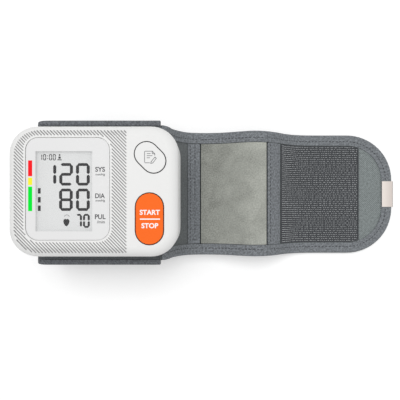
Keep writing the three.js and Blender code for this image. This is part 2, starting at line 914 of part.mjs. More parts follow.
function buildControls() {
  const start = [halfLength - startMargin, -startShift];
  const memory = [halfLength - memoryMargin, memoryShift];
  return unit(
    piece('circuit_board', circuitBoard(), 'board'),
    piece('start_switch', tactSwitch(...start), 'black'),
    piece('memory_switch', tactSwitch(...memory), 'black'),
    piece('start_button', button(startShape, ...start), 'orange'),
    piece('memory_button', button(memoryShape, ...memory), 'casing'),
    piece('buzzer', buzzer(), 'black'),
    piece('pressure_sensor', pressureSensor(), 'black'),
  );
}

function buildBatteryBay() {
  const [first, second] = cellCentres();
  const reach = cellRadius - gap;
  return unit(
    piece('battery_door', batteryDoor(), 'casing'),
    piece('battery_1', cell(first, 1), 'wrapper'),
    piece('battery_2', cell(second, -1), 'wrapper'),
    piece('battery_spring_1', batterySpring(first, -1), 'steel'),
    piece('battery_spring_2', batterySpring(second, 1), 'steel'),
    piece('battery_link', terminal(first - reach / 2, second + reach, -1), 'steel'),
    piece('battery_terminal_1', terminal(first - reach / 2, first + reach / 2, 1), 'steel'),
    piece('battery_terminal_2', terminal(second - reach / 2, second + reach / 2, 1), 'steel'),
  );
}

function buildAirLine() {
  return unit(
    piece('pump_motor', pumpMotor(), 'steel'),
    piece('pump_head', pumpHead(), 'black'),
    piece('release_valve', releaseValve(), 'brass'),
    piece('air_tube', airTube(), 'hose'),
    piece('cuff_nozzle', cuffNozzle(), 'casing'),
  );
}

function buildCuff() {
  return unit(
    piece('cuff_mount_plate', mountPlate(), 'shell'),
    piece('cuff_outer_cover', outerCover(), 'cuffCloth'),
    piece('preformed_shell', preformedShell(), 'shell'),
    piece('air_bladder', airBladder(), 'bladder'),
    piece('cuff_inner_lining', innerLining(), 'cuffCloth'),
    piece('cuff_binding_front', cuffBinding(-1), 'tape'),
    piece('cuff_binding_rear', cuffBinding(1), 'tape'),
    piece('ring_tab', ringTab(), 'tape'),
    piece('strap_ring', strapRing(), 'black'),
  );
}

function buildStrap() {
  const outside = tongueLength + gap * 2;
  const lift = [liftAt - gap / 2, liftAt + gap / 2];
  const fold = [foldAt - gap / 2, foldAt + gap / 2];
  return unit(
    piece('strap_root_web', strapWeb(0, lift[0]), 'tape'),
    piece('strap_root_binding_front', strapBinding(outside, lift[0], -1), 'tape'),
    piece('strap_root_binding_rear', strapBinding(outside, lift[0], 1), 'tape'),
    piece('seam_tape', strapPanel(tapeStart, tapeStart + seamTapeWidth), 'tape'),
    piece('strap_mid_web', strapWeb(lift[1], fold[0]), 'tape'),
    piece('strap_mid_binding_front', strapBinding(lift[1], fold[0], -1), 'tape'),
    piece('strap_mid_binding_rear', strapBinding(lift[1], fold[0], 1), 'tape'),
    piece('loop_panel', strapPanel(loopStart, loopStart + loopPanelLength), 'loops'),
    piece('strap_end_web', tipBand(fold[1], webInset, [-webHalf, webHalf]), 'twill'),
    piece('end_binding', endBinding(), 'tape'),
    piece('fold_tape', strapPanel(foldAt + gap, foldTapeEnd), 'tape'),
    piece('hook_panel', strapPanel(hookStart, hookEnd), 'hooks'),
    piece('end_clip', endClip(), 'clip'),
  );
}

const monitor = new THREE.Group();
monitor.name = 'wrist_blood_pressure_monitor';
monitor.add(buildCasing(), buildControls(), buildBatteryBay(), buildAirLine(), buildCuff(), buildStrap());

export default monitor;
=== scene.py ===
"""Dresses the packed wrist blood pressure monitor: its casing, display, buttons, cuff and fold-back strap."""

import bisect
import json
import math
import random

import bmesh
import bpy
from bpy.props import FloatProperty, FloatVectorProperty, PointerProperty
from mathutils import Matrix, Vector


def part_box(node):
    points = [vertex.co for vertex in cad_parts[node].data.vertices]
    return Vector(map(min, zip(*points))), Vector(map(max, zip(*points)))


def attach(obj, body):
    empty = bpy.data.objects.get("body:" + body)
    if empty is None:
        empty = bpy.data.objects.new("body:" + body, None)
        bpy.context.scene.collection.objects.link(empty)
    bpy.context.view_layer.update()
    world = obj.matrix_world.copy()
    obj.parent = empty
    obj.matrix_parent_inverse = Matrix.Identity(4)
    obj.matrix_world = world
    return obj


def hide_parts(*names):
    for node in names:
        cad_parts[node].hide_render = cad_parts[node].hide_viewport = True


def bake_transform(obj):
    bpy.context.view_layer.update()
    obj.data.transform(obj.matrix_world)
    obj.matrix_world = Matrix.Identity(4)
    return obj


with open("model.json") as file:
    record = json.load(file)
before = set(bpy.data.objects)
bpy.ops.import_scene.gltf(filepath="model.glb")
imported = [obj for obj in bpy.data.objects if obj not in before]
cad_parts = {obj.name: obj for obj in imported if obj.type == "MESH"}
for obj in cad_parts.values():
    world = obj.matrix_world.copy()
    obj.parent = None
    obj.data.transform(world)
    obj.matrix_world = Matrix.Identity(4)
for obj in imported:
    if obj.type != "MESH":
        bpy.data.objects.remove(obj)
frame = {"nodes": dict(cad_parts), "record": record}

bl_info = {
    "name": "Wrist Blood Pressure Monitor",
    "version": (1, 0, 0),
    "blender": (4, 5, 0),
    "location": "View3D > Sidebar > Monitor",
    "description": "Builds the looks of a wrist blood pressure monitor round its packed frame",
    "category": "Object",
}

MM = 0.001
CLOTH_MAP = "cloth"  # the UV map of bent pieces, in centimetres along and across
CLOTH_UNIT = 10 * MM
GAP = 0.3 * MM
SEAM_GAP = GAP / 2
SUNK = 0.01 * MM  # how far a printed mark starts below its face

# The cuff's line and its layers, as depths from the outer cloth inwards
CUFF_TOP = 43 * MM
CUFF_END = 28.6 * MM
CUFF_LENGTH = 64.7 * MM
CUFF_LIP = 40.1 * MM
TOP_BEND = 6.5 * MM
BOTTOM_BEND = 18 * MM
CUFF_HALF = 37.3 * MM
EDGE_TAPE = 2.8 * MM
COVER_THICKNESS = 1 * MM
BLADDER_DEPTH = (2.8 * MM, 4.2 * MM)
LINING_DEPTH = (4.5 * MM, 5.5 * MM)

# The strap's line and its stations along it
STRAP_HALF = 35 * MM
STRAP_LENGTH = 166.1 * MM
STRAP_RUN = 0.847 * STRAP_LENGTH
STRAP_START = 22.6 * MM
STRAP_BASE = 2 * MM
STRAP_DROP = 39.1 * MM
TIP_CORNER = 26.6 * MM
TIP_FLAT = STRAP_HALF - TIP_CORNER
TIP_BEND = STRAP_LENGTH - TIP_CORNER
STRAP_SHARES = (
    (0, 1), (0.025, 1), (0.048, 1), (0.065, 0.9), (0.079, 0.685), (0.105, 0.481), (0.138, 0.332),
    (0.176, 0.279), (0.215, 0.266), (0.261, 0.286), (0.309, 0.355), (0.354, 0.445), (0.396, 0.509),
    (0.428, 0.501), (0.458, 0.453), (0.491, 0.363), (0.525, 0.23), (0.557, 0.125), (0.592, 0.051),
    (0.635, 0.01), (0.692, 0), (0.77, 0), (0.842, 0), (0.92, 0), (1, 0),
)
BINDING_START = 6.6 * MM
SEAM_TAPE = (35.7 * MM, 43.7 * MM)
LIFT_SEAM = 44 * MM
LOOP_PANEL = (44.3 * MM, 82.6 * MM)
FOLD_SEAM = 83.1 * MM
FOLD_TAPE = (83.4 * MM, 93.4 * MM)
HOOK_PANEL = (94.4 * MM, 146.5 * MM)
TAPE_WIDTH = 6.2 * MM
TAPE_HALF = 1.3 * MM
WEB_HALF = 0.6 * MM
WEB_INSET = 0.8 * MM
PANEL_HEIGHT = (0.9 * MM, 1.3 * MM)
BEND_STEP = 1.6 * MM
STRAP_RUNS = {
    "strap_root": (LIFT_SEAM - SEAM_GAP, "monitor"),
    "strap_mid": (FOLD_SEAM - SEAM_GAP, "strap_middle"),
}

# The ring's axis and the tab round it
RING_AXIS = (7.6 * MM, 2.75 * MM)
TAB_HALF = 30 * MM
TAB_RADIUS = 2.2 * MM
TAB_THICKNESS = 0.7 * MM

# Printed marks are placed by where they are in the photograph's 400 x 400 frame
FRAME_PIXELS = 400
SENSOR_WIDTH = 36
CLEAR_BOX = (35.1, 151.1, 92.2, 231.4)  # what the window leaves clear

# How far the table lies below the cuff, so that no cloth cuts through it
FLOOR_DEPTH = 0.1 * MM


def tint(code):
    """A colour written as 0xRRGGBB, as linear values."""
    parts = [(code >> shift & 255) / 255 for shift in (16, 8, 0)]
    return tuple(p / 12.92 if p <= 0.04045 else ((p + 0.055) / 1.055) ** 2.4 for p in parts)


def colour(name, description, code):
    return FloatVectorProperty(
        name=name, description=description, subtype="COLOR", size=3, min=0, max=1, default=tint(code)
    )


def length(name, description, default):
    return FloatProperty(name=name, description=description, unit="LENGTH", min=0, default=default)


class StageSettings(bpy.types.PropertyGroup):
    """The camera, the floor and the lamps."""

    camera_x: length("Camera along", "Distance of the camera along the strap", 49.2 * MM)
    camera_y: FloatProperty(
        name="Camera across", description="Place of the camera across the strap", unit="LENGTH",
        default=-5.6 * MM,
    )
    camera_height: length("Camera height", "Height of the camera above the table", 300 * MM)
    camera_shift: FloatProperty(
        name="Camera shift", description="Shift of the picture, as a share of its width", default=0.00875
    )
    camera_lens: FloatProperty(name="Lens", description="Focal length", unit="CAMERA", default=44.9)
    key_power: FloatProperty(
        name="Key lamp", description="Power of the lamp above", unit="POWER", default=3.2
    )
    sky: FloatProperty(name="Sky", description="Strength of the light from all round", default=0.5)
    floor: colour("Floor", "Colour of the table", 0xFBFBFB)
    floor_glow: FloatProperty(
        name="Floor lift", description="White added to the floor where the camera sees it", default=0.24
    )


class CasingSettings(bpy.types.PropertyGroup):
    """The plastic casing and what is printed on it."""

    shell: colour("Casing", "Colour of the casing", 0xEFEFEE)
    hatch: colour("Hatch", "Colour of the slanted lines on the face", 0x8C8C8C)
    hatch_pitch: length("Hatch pitch", "Distance between the lines, along the casing", 1.565 * MM)
    hatch_width: length("Hatch width", "Width of one line", 0.45 * MM)
    window: colour("Window", "Colour of the window's printed border", 0xE9E9E9)
    print_grey: colour("Labels", "Colour of the labels beside the display", 0x4C4C4E)
    icon_grey: colour("Icon", "Colour of the memory button's icon", 0x848486)
    start: colour("Start button", "Colour of the start button", 0xFF6E1E)
    seam: colour("Button seam", "Colour of the soft seal round the buttons", 0x18181A)


class DisplaySettings(bpy.types.PropertyGroup):
    """The display and its digits."""

    glass: colour("Display", "Colour of the display behind the digits", 0xE3E4E4)
    segment: colour("Segments", "Colour of the digits", 0x1E1E20)
    faint: colour("Faint segments", "Colour of the small clock digits", 0x3C3C3E)
    stroke: length("Stroke", "Width of a segment", 1.42 * MM)


class CuffSettings(bpy.types.PropertyGroup):
    """The cuff's cloth and its edge tape."""

    cloth: colour("Cuff cloth", "Colour of the cuff's cloth", 0x5E6264)
    lining: colour("Lining", "Colour of the cloth against the wrist", 0x6C7072)
    # Painted shade: darker than the strap's binding tape, as the shade that the casing casts on the cuff.
    edge: colour("Cuff edge", "Colour of the cuff's edge tape", 0x6B6E72)
    thread_pitch: FloatProperty(
        name="Thread pitch", description="Pitch of the weave in centimetres", default=0.07
    )


class StrapSettings(bpy.types.PropertyGroup):
    """The strap's cloths, stitches and hooks."""

    tape: colour("Tape", "Colour of the binding", 0x7E8286)
    web: colour("Web", "Colour of the strap's inner cloth", 0x707475)
    velour: colour("Loop velour", "Colour of the loop panel", 0xA1A39C)
    hook: colour("Hook base", "Colour of the hook panel's cloth", 0x505255)
    hook_tip: colour("Hooks", "Colour of the hooks", 0xC2C5C7)
    twill: colour("End cloth", "Colour of the twill at the tip", 0x868D8D)
    thread: colour("Thread", "Colour of the stitches", 0x3E4144)
    # Painted shade: the web cloth across the strap's seams is painted dark, as the shadow deep in the fold of
    # each seam.
    crease_shade: colour("Crease", "Colour of the cloth deep in the strap's seams", 0x2C2E30)
    hook_pitch: length("Hook pitch", "Distance between hooks", 1.13 * MM)
    stitch: length("Stitch", "Length of one stitch", 1.35 * MM)
    stitch_pitch: length("Stitch pitch", "Distance from stitch to stitch", 2.05 * MM)


def settings(name):
    return getattr(bpy.context.scene, "monitor_" + name)


# Shader helpers

# The sockets of a Mix node that blends colours: its factor, both colours and the result
MIX_INPUTS = (0, 6, 7)
MIX_RESULT = 2


def feed(tree, node, inputs):
    """Links or fills a node's inputs."""
    for key, value in inputs.items():
        if isinstance(value, bpy.types.NodeSocket):
            tree.links.new(value, node.inputs[key])
        else:
            node.inputs[key].default_value = value


def add_node(tree, kind, inputs=None, **values):
    """A node with its settings, and its inputs linked or filled."""
    made = tree.nodes.new(kind)
    for key, value in values.items():
        setattr(made, key, value)
    feed(tree, made, inputs or {})
    return made


def maths(tree, operation, first, second=0.0, third=0.0):
    inputs = {0: first, 1: second, 2: third}
    return add_node(tree, "ShaderNodeMath", inputs, operation=operation).outputs[0]


def blended(tree, factor, first, second):
    """Two colours blended by a factor."""
    inputs = dict(zip(MIX_INPUTS, (factor, first, second)))
    return add_node(tree, "ShaderNodeMix", inputs, data_type="RGBA").outputs[MIX_RESULT]


def opaque(colour_value):
    return (*colour_value[:3], 1.0)


def shaded(colour_value, share):
    """A colour made darker or lighter by a share."""
    return tuple(min(c * share, 1.0) for c in colour_value[:3]) + (1.0,)


def new_group(name, outputs, **inputs):
    """A shader node group that takes a vector and named numbers and gives named numbers."""
    tree = bpy.data.node_groups.new(name, "ShaderNodeTree")
    tree.interface.new_socket(name="Vector", in_out="INPUT", socket_type="NodeSocketVector")
    for label, default in inputs.items():
        socket = tree.interface.new_socket(name=label, in_out="INPUT", socket_type="NodeSocketFloat")
        socket.default_value = default
    for label in outputs:
        tree.interface.new_socket(name=label, in_out="OUTPUT", socket_type="NodeSocketFloat")
    return tree, tree.nodes.new("NodeGroupInput").outputs, tree.nodes.new("NodeGroupOutput")


def threads_passed(tree, given):
    """How many threads along and across the cloth a point lies."""
    split = add_node(tree, "ShaderNodeSeparateXYZ", {0: given["Vector"]}).outputs
    return [maths(tree, "DIVIDE", split[axis], given["Pitch"]) for axis in (0, 1)]


def humps(tree, value, turn=math.pi):
    """Even round humps, one for each whole number or as often as the turn says."""
    return maths(tree, "ABSOLUTE", maths(tree, "SINE", maths(tree, "MULTIPLY", value, turn)))


def add_noise(tree, vector, scale, detail, **values):
    return add_node(
        tree, "ShaderNodeTexNoise", {"Vector": vector, "Scale": scale, "Detail": detail, **values}
    )


def offset_from_middle(tree, noise):
    return maths(tree, "MULTIPLY_ADD", noise.outputs["Fac"], 2.5, -1.25)


def mottled(tree, given, tone, scale):
    """A tone with uneven wear added, as much as the group's Wear input asks for."""
    noise = add_noise(tree, given["Vector"], scale, 5.0)
    return maths(tree, "MULTIPLY_ADD", offset_from_middle(tree, noise), given["Wear"], tone)


def plain_weave_group():
    """Threads that pass over and under each other, from a flat pattern of cloth."""
    tree, given, result = new_group("plain_weave", ("Tone", "Height"), Pitch=0.07, Wear=0.3)
    along, across = threads_passed(tree, given)
    sum_of_cells = maths(tree, "ADD", maths(tree, "FLOOR", along), maths(tree, "FLOOR", across))
    over = maths(tree, "PINGPONG", sum_of_cells, 1.0)
    over_part = maths(tree, "MULTIPLY", over, humps(tree, along))
    under_part = maths(tree, "MULTIPLY", maths(tree, "SUBTRACT", 1.0, over), humps(tree, across))
    height = maths(tree, "ADD", over_part, under_part)
    threads = maths(tree, "MULTIPLY_ADD", height, 0.6, 0.12)
    feed(tree, result, {"Tone": mottled(tree, given, threads, 11.0), "Height": height})
    return tree


def twill_group():
    """Slanted ribs of a twill or a binding tape, from a flat pattern of cloth."""
    tree, given, result = new_group("twill_ribs", ("Tone", "Height"), Pitch=0.08, Slant=1.0, Wear=0.3)
    along, across = threads_passed(tree, given)
    slanted = maths(tree, "ADD", along, maths(tree, "MULTIPLY", across, given["Slant"]))
    thread = maths(tree, "MULTIPLY", humps(tree, across, math.tau), 0.35)
    height = maths(tree, "MULTIPLY", humps(tree, slanted), maths(tree, "SUBTRACT", 1.0, thread))
    ribs = maths(tree, "MULTIPLY_ADD", height, 0.6, 0.2)
    feed(tree, result, {"Tone": mottled(tree, given, ribs, 9.0), "Height": height})
    return tree


def nap_group():
    """Brushed nap: broad clouds where the pile leans, fine speckle of its fibres, and painted shade that
    lightens the cloth steadily along it past its Middle, as much as Lean asks.
    """
    tree, given, result = new_group(
        "brushed_nap", ("Tone", "Height"), Cloud=0.9, Fibre=60.0, Middle=0.0, Lean=0.0
    )
    vector = given["Vector"]
    cloud = add_noise(tree, vector, given["Cloud"], 2.0, Distortion=0.6)
    fibre = add_noise(tree, vector, given["Fibre"], 4.0, Roughness=0.7)
    broad = maths(tree, "MULTIPLY_ADD", offset_from_middle(tree, cloud), 0.28, 0.5)
    along = add_node(tree, "ShaderNodeSeparateXYZ", {0: vector}).outputs[0]
    past = maths(tree, "SUBTRACT", along, given["Middle"])
    # Painted shade: the tone rises steadily along the cloth past its Middle.
    clouds_and_painted_shade = maths(tree, "MULTIPLY_ADD", past, given["Lean"], broad)
    tone = maths(tree, "MULTIPLY_ADD", offset_from_middle(tree, fibre), 0.6, clouds_and_painted_shade)
    feed(tree, result, {"Tone": tone, "Height": fibre.outputs["Fac"]})
    return tree


def moulding_group():
    """The faint texture, flow and rubbed patches of a moulded plastic or a drawn metal."""
    tree, given, result = new_group(
        "moulded_surface", ("Tone", "Roughness", "Height"), Grain=1500.0, Flow=60.0, Spread=0.08
    )
    grain = add_noise(tree, given["Vector"], given["Grain"], 3.0)
    flow = add_noise(tree, given["Vector"], given["Flow"], 4.0).outputs["Fac"]
    spread = maths(tree, "MULTIPLY", maths(tree, "SUBTRACT", flow, 0.5), given["Spread"])
    feed(tree, result, {"Tone": flow, "Roughness": spread, "Height": grain.outputs["Fac"]})
    return tree


def group(name):
    """A shared effect, built the first time that it is asked for."""
    makers = {
        "plain_weave": plain_weave_group,
        "twill_ribs": twill_group,
        "brushed_nap": nap_group,
        "moulded_surface": moulding_group,
    }
    return bpy.data.node_groups.get(name) or makers[name]()


def add_group(tree, name, inputs):
    return add_node(tree, "ShaderNodeGroup", inputs, node_tree=group(name))


def finish_name(name):
    """Finishes have names of their own, apart from the frame's material slots."""
    return name + "_finish"


def new_material(name):
    material = bpy.data.materials.new(finish_name(name))
    material.use_nodes = True
    return material, material.node_tree, material.node_tree.nodes["Principled BSDF"]


def add_bump(tree, shader, height, strength, distance):
    bump = add_node(tree, "ShaderNodeBump", {"Height": height, "Strength": strength, "Distance": distance})
    feed(tree, shader, {"Normal": bump.outputs["Normal"]})


def object_place(tree):
    """Where a point lies on its piece, whole and as X, Y and Z."""
    place = add_node(tree, "ShaderNodeTexCoord").outputs["Object"]
    return place, add_node(tree, "ShaderNodeSeparateXYZ", {0: place}).outputs


def cloth_material(name, effect, base, dark=0.6, light=1.4, sheen=0.05, bump=0.5, depth=0.2 * MM, **values):
    """A cloth whose threads come from one of the shared groups, on the piece's flat pattern."""
    found = bpy.data.materials.get(finish_name(name))
    if found:
        return found
    material, tree, shader = new_material(name)
    flat = add_node(tree, "ShaderNodeUVMap", uv_map=CLOTH_MAP).outputs["UV"]
    made = add_group(tree, effect, {"Vector": flat, **values})
    mixed = blended(tree, made.outputs["Tone"], shaded(base, dark), shaded(base, light))
    feed(tree, shader, {
        "Base Color": mixed, "Roughness": 0.92, "Specular IOR Level": 0.2, "Sheen Weight": sheen,
        "Sheen Roughness": 0.5,
    })
    add_bump(tree, shader, made.outputs["Height"], bump, depth)
    return material


def moulded_material(
    name, base, roughness, metallic=0.0, grain=1500.0, spread=0.08, bump=0.08, coat=0.0, tone=0.03, shine=0.5
):
    """A moulded plastic, rubber or metal with a faint texture and uneven gloss."""
    found = bpy.data.materials.get(finish_name(name))
    if found:
        return found
    material, tree, shader = new_material(name)
    place = add_node(tree, "ShaderNodeTexCoord").outputs["Object"]
    made = add_group(tree, "moulded_surface", {"Vector": place, "Grain": grain, "Spread": spread})
    mixed = blended(tree, made.outputs["Tone"], shaded(base, 1 - tone), shaded(base, 1 + tone))
    rough = maths(tree, "ADD", made.outputs["Roughness"], roughness)
    feed(tree, shader, {
        "Base Color": mixed, "Roughness": rough, "Metallic": metallic, "Specular IOR Level": shine,
        "Coat Weight": coat, "Coat Roughness": 0.12,
    })
    add_bump(tree, shader, made.outputs["Height"], bump, 0.03 * MM)
    return material


# Lines that flat pieces are bent along


class Line:
    """A line in the XZ plane, measured from its start."""

    def __init__(self, points, whole=None):
        self.points = points
        marks = [0.0]
        for near, far in zip(points, points[1:]):
            marks.append(marks[-1] + (far - near).length)
        scale = (whole or marks[-1]) / marks[-1]
        self.marks = [mark * scale for mark in marks]
        self.length = self.marks[-1]
        ends = [points[0], *points, points[-1]]
        self.tangents = [(after - before).normalized() for before, after in zip(ends, ends[2:])]

    def at(self, distance, raised):
        """The point at a distance along the line, raised across it."""
        i = min(max(bisect.bisect_right(self.marks, distance) - 1, 0), len(self.points) - 2)
        share = (distance - self.marks[i]) / (self.marks[i + 1] - self.marks[i])
        spot = self.points[i].lerp(self.points[i + 1], share)
        way = self.tangents[i].lerp(self.tangents[i + 1], min(max(share, 0), 1)).normalized()
        return spot.x - way.y * raised, spot.y + way.x * raised


def smooth_points(points, splits=24):
    """Points on the centripetal curve through the given ones."""
    first = points[0] * 2 - points[1]
    last = points[-1] * 2 - points[-2]
    ends = [first, *points, last]
    made = []
    for p0, p1, p2, p3 in zip(ends, ends[1:], ends[2:], ends[3:]):
        d0, d1, d2 = [(b - a).length ** 0.5 for a, b in ((p0, p1), (p1, p2), (p2, p3))]
        t1 = ((p1 - p0) / d0 - (p2 - p0) / (d0 + d1) + (p2 - p1) / d1) * d1
        t2 = ((p2 - p1) / d1 - (p3 - p1) / (d1 + d2) + (p3 - p2) / d2) * d1
        square = p2 * 3 - p1 * 3 - t1 * 2 - t2
        cube = p1 * 2 - p2 * 2 + t1 + t2
        for i in range(splits):
            t = i / splits
            made.append(p1 + t1 * t + square * t * t + cube * t ** 3)
    return [*made, points[-1]]


def arc_points(cx, cz, radius, start, end, count=24):
    """Points on an arc between two angles in degrees."""
    angles = [math.radians(start + (end - start) * i / count) for i in range(count + 1)]
    return [Vector((cx + radius * math.cos(a), cz + radius * math.sin(a))) for a in angles]


def strap_line():
    points = [
        Vector((STRAP_START + STRAP_RUN * along, STRAP_BASE + STRAP_DROP * up)) for along, up in STRAP_SHARES
    ]
    return Line(smooth_points(points), STRAP_LENGTH)


def cuff_line():
    left = CUFF_END - CUFF_LENGTH
    points = [
        Vector((CUFF_END, CUFF_TOP)),
        Vector((CUFF_END / 2, CUFF_TOP)),
        *arc_points(left + TOP_BEND, CUFF_TOP - TOP_BEND, TOP_BEND, 90, 180),
        *arc_points(left + BOTTOM_BEND, BOTTOM_BEND, BOTTOM_BEND, 180, 270),
        Vector((left + CUFF_LIP, 0)),
    ]
    return Line(points)


def tab_line():
    """Once round the ring's bar, from inside the lip and back."""
    x, z = RING_AXIS
    inside = CUFF_END - CUFF_LENGTH + CUFF_LIP - 4.5 * MM
    spread = TAB_THICKNESS * 0.55
    return Line([
        Vector((inside, z + spread)),
        Vector((x - TAB_RADIUS * 1.6, z + spread)),
        *arc_points(x, z, TAB_RADIUS, 145, -145, 40),
        Vector((x - TAB_RADIUS * 1.6, z - spread)),
        Vector((inside, z - spread)),
    ])


STRAP = strap_line()
CUFF = cuff_line()
TAB = tab_line()


# Mesh helpers


def everything(bm):
    return bm.verts[:] + bm.edges[:] + bm.faces[:]


def sliced(bm, start, end, step, axis=(1, 0, 0)):
    """Cuts a flat piece across at even stations, so that it can bend."""
    count = max(1, math.ceil((end - start) / step))
    way = Vector(axis)
    for i in range(1, count):
        spot = way * (start + (end - start) * i / count)
        bmesh.ops.bisect_plane(bm, geom=everything(bm), plane_co=spot, plane_no=way)


def trimmed(bm, start, end, axis=(1, 0, 0)):
    """Keeps what lies between two stations along an axis."""
    way = Vector(axis)
    for station, cleared in ((start, "clear_inner"), (end, "clear_outer")):
        bmesh.ops.bisect_plane(
            bm, geom=everything(bm), plane_co=way * station, plane_no=way, **{cleared: True}
        )


def verts_of(made):
    """The points that a bmesh operator made."""
    return [item for item in made["geom"] if isinstance(item, bmesh.types.BMVert)]


def risen(bm, thickness):
    """Gives flat faces a thickness upwards from where they lie."""
    made = bmesh.ops.extrude_face_region(bm, geom=bm.faces[:])
    bmesh.ops.translate(bm, verts=verts_of(made), vec=(0, 0, thickness))
    bmesh.ops.recalc_face_normals(bm, faces=bm.faces[:])


def raised(bm, low, high):
    """Gives flat faces a thickness between two heights."""
    for vert in bm.verts:
        vert.co.z = low
    risen(bm, high - low)


def rounded(bm, edges, offset, segments=3):
    bmesh.ops.bevel(
        bm, geom=edges, offset=offset, segments=segments, profile=0.5, affect="EDGES", material=-1,
        clamp_overlap=True,
    )


def sharp_edges(bm, angle=40):
    limit = math.radians(angle)
    return [e for e in bm.edges if len(e.link_faces) == 2 and e.calc_face_angle() > limit]


def slab(low, high):
    """A box between two corners."""
    low, high = Vector(low), Vector(high)
    size = high - low
    bm = bmesh.new()
    place = Matrix.Translation((low + high) / 2) @ Matrix.Diagonal((*size, 1))
    bmesh.ops.create_cube(bm, size=1, matrix=place)
    return bm


def strip(start, end, near, far, low, high, edge=0.15 * MM, outer=None, step=BEND_STEP):
    """A flat strip of cloth with soft edges. Its outer edge may be rounder than the rest."""
    bm = slab((start, near, low), (end, far, high))
    if outer:
        outside = max(near, far, key=abs)
        rim = [e for e in bm.edges if all(abs(v.co.y - outside) < edge for v in e.verts)]
        long_rim = [e for e in rim if abs(e.verts[0].co.x - e.verts[1].co.x) > edge]
        rounded(bm, long_rim, outer, 5)
    else:
        rounded(bm, sharp_edges(bm), edge, 2)
    sliced(bm, start, end, step)
    return bm


def tip_outline(inset, start):
    """The strap's outline up to its round tip, drawn in by an inset, as one flat face."""
    half = STRAP_HALF - inset
    end = STRAP_LENGTH - inset
    bm = bmesh.new()
    places = ((start, -half, 0), (end, -half, 0), (end, half, 0), (start, half, 0))
    corners = [bm.verts.new(place) for place in places]
    bm.faces.new(corners)
    bmesh.ops.bevel(
        bm, geom=corners[1:3], offset=TIP_CORNER - inset, offset_type="OFFSET", segments=16, profile=0.5,
        affect="VERTICES", material=-1,
    )
    return bm


def edge_path(inset, start, end=None):
    """Points round the strap at an inset from its edge: out along one side, round the tip and back."""
    half = STRAP_HALF - inset
    radius = TIP_CORNER - inset
    if end and end < TIP_BEND:
        return [[Vector((start, side * half)), Vector((end, side * half))] for side in (1, -1)]
    path = [Vector((start, half))]
    path += [
        Vector((TIP_BEND, TIP_FLAT)) + Vector((math.sin(a), math.cos(a))) * radius
        for a in quarter_turn()
    ]
    path += [
        Vector((TIP_BEND, -TIP_FLAT)) + Vector((math.cos(a), -math.sin(a))) * radius
        for a in quarter_turn()
    ]
    path.append(Vector((start, -half)))
    return [path]


def quarter_turn(count=12):
    return [math.pi / 2 * i / count for i in range(count + 1)]


def patterned(bm):
    """Keeps each point's place on the flat cloth as a UV map that runs on down its sides."""
    layer = bm.loops.layers.uv.new(CLOTH_MAP)
    for face in bm.faces:
        for loop in face.loops:
            along, across, height = loop.vert.co
            loop[layer].uv = Vector((along, across - math.copysign(height, across))) / CLOTH_UNIT


def bent(bm, line):
    """Bends a flat piece along a line: along, across and height become X, Y and Z."""
    patterned(bm)
    for vert in bm.verts:
        along, across, height = vert.co
        x, z = line.at(along, height)
        vert.co = (x, across, z)
    bmesh.ops.recalc_face_normals(bm, faces=bm.faces[:])
    return bm


def linked(name, data):
    """An object in the scene, made from its data."""
    made = bpy.data.objects.new(name, data)
    bpy.context.scene.collection.objects.link(made)
    return made


def body_of(node):
    """The body that a CAD node rides on."""
    bodies = frame["record"]["behaviour"]["bodies"]
    return next(name for name, nodes in bodies.items() if node in nodes)


def new_piece(name, bm, material, body, nodes=(), angle=38, weighted=True):
    """Turns a mesh into a piece that rides on a body and stands for the CAD nodes it replaces."""
    mesh = bpy.data.meshes.new(name)
    bm.to_mesh(mesh)
    bm.free()
    mesh.materials.append(material)
    mesh.shade_smooth()
    mesh.set_sharp_from_angle(angle=math.radians(angle))
    piece = linked(name, mesh)
    if weighted:
        normals = piece.modifiers.new("even_normals", "WEIGHTED_NORMAL")
        normals.keep_sharp = True
    if body:
        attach(piece, body)
    if nodes:
        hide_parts(*nodes)
    return piece


def copied(node, merge=0.005 * MM):
    """A copy of a CAD node's mesh with its triangles joined."""
    bm = bmesh.new()
    bm.from_mesh(frame["nodes"][node].data)
    bmesh.ops.remove_doubles(bm, verts=bm.verts[:], dist=merge)
    bmesh.ops.dissolve_limit(
        bm, angle_limit=math.radians(0.5), verts=bm.verts[:], edges=bm.edges[:], use_dissolve_boundaries=False
    )
    return bm


def dress(node, material):
    """Gives a CAD node that is shown as it is its material."""
    shown = frame["nodes"][node]
    if not shown.data.materials:
        shown.data.materials.append(material)
    for held in shown.material_slots:
        held.link = "OBJECT"
        held.material = material


def photo_spot(px, py, height):
    """The point at a height that the camera sees at a place in the photograph."""
    stage = settings("stage")
    scale = (stage.camera_height - height) / (stage.camera_lens / SENSOR_WIDTH * FRAME_PIXELS)
    half = FRAME_PIXELS / 2
    middle = half + stage.camera_shift * FRAME_PIXELS
    return Vector((stage.camera_x + (px - half) * scale, stage.camera_y + (middle - py) * scale, height))


def photo_box(box, height):
    """The corners of a box of the photograph, given as left, top, right and bottom."""
    left, top, right, bottom = box
    return photo_spot(left, bottom, height), photo_spot(right, top, height)


def box_top(node):
    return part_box(node)[1].z


# Marks and lettering


def flat_mark(bm, centre, size, turn=0.0, corner=0.0, segments=3):
    """A flat bar at a place, with its corners rounded, as one face of a mesh."""
    before = set(bm.faces)
    place = Matrix.Translation(centre) @ Matrix.Rotation(turn, 4, "Z") @ Matrix.Diagonal((*size, 1, 1))
    bmesh.ops.create_grid(bm, x_segments=1, y_segments=1, size=0.5, matrix=place)
    made = [f for f in bm.faces if f not in before]
    if corner:
        verts = list({v for f in made for v in f.verts})
        bmesh.ops.bevel(
            bm, geom=verts, offset=corner, offset_type="OFFSET", segments=segments, profile=0.5,
            affect="VERTICES", material=-1,
        )


def photo_bar(bm, box, height, corner=0.0):
    """A flat bar that covers a box of the photograph."""
    low, high = photo_box(box, height)
    size = (high - low).xy
    flat_mark(bm, (low + high) / 2, size, corner=corner * min(size), segments=3)


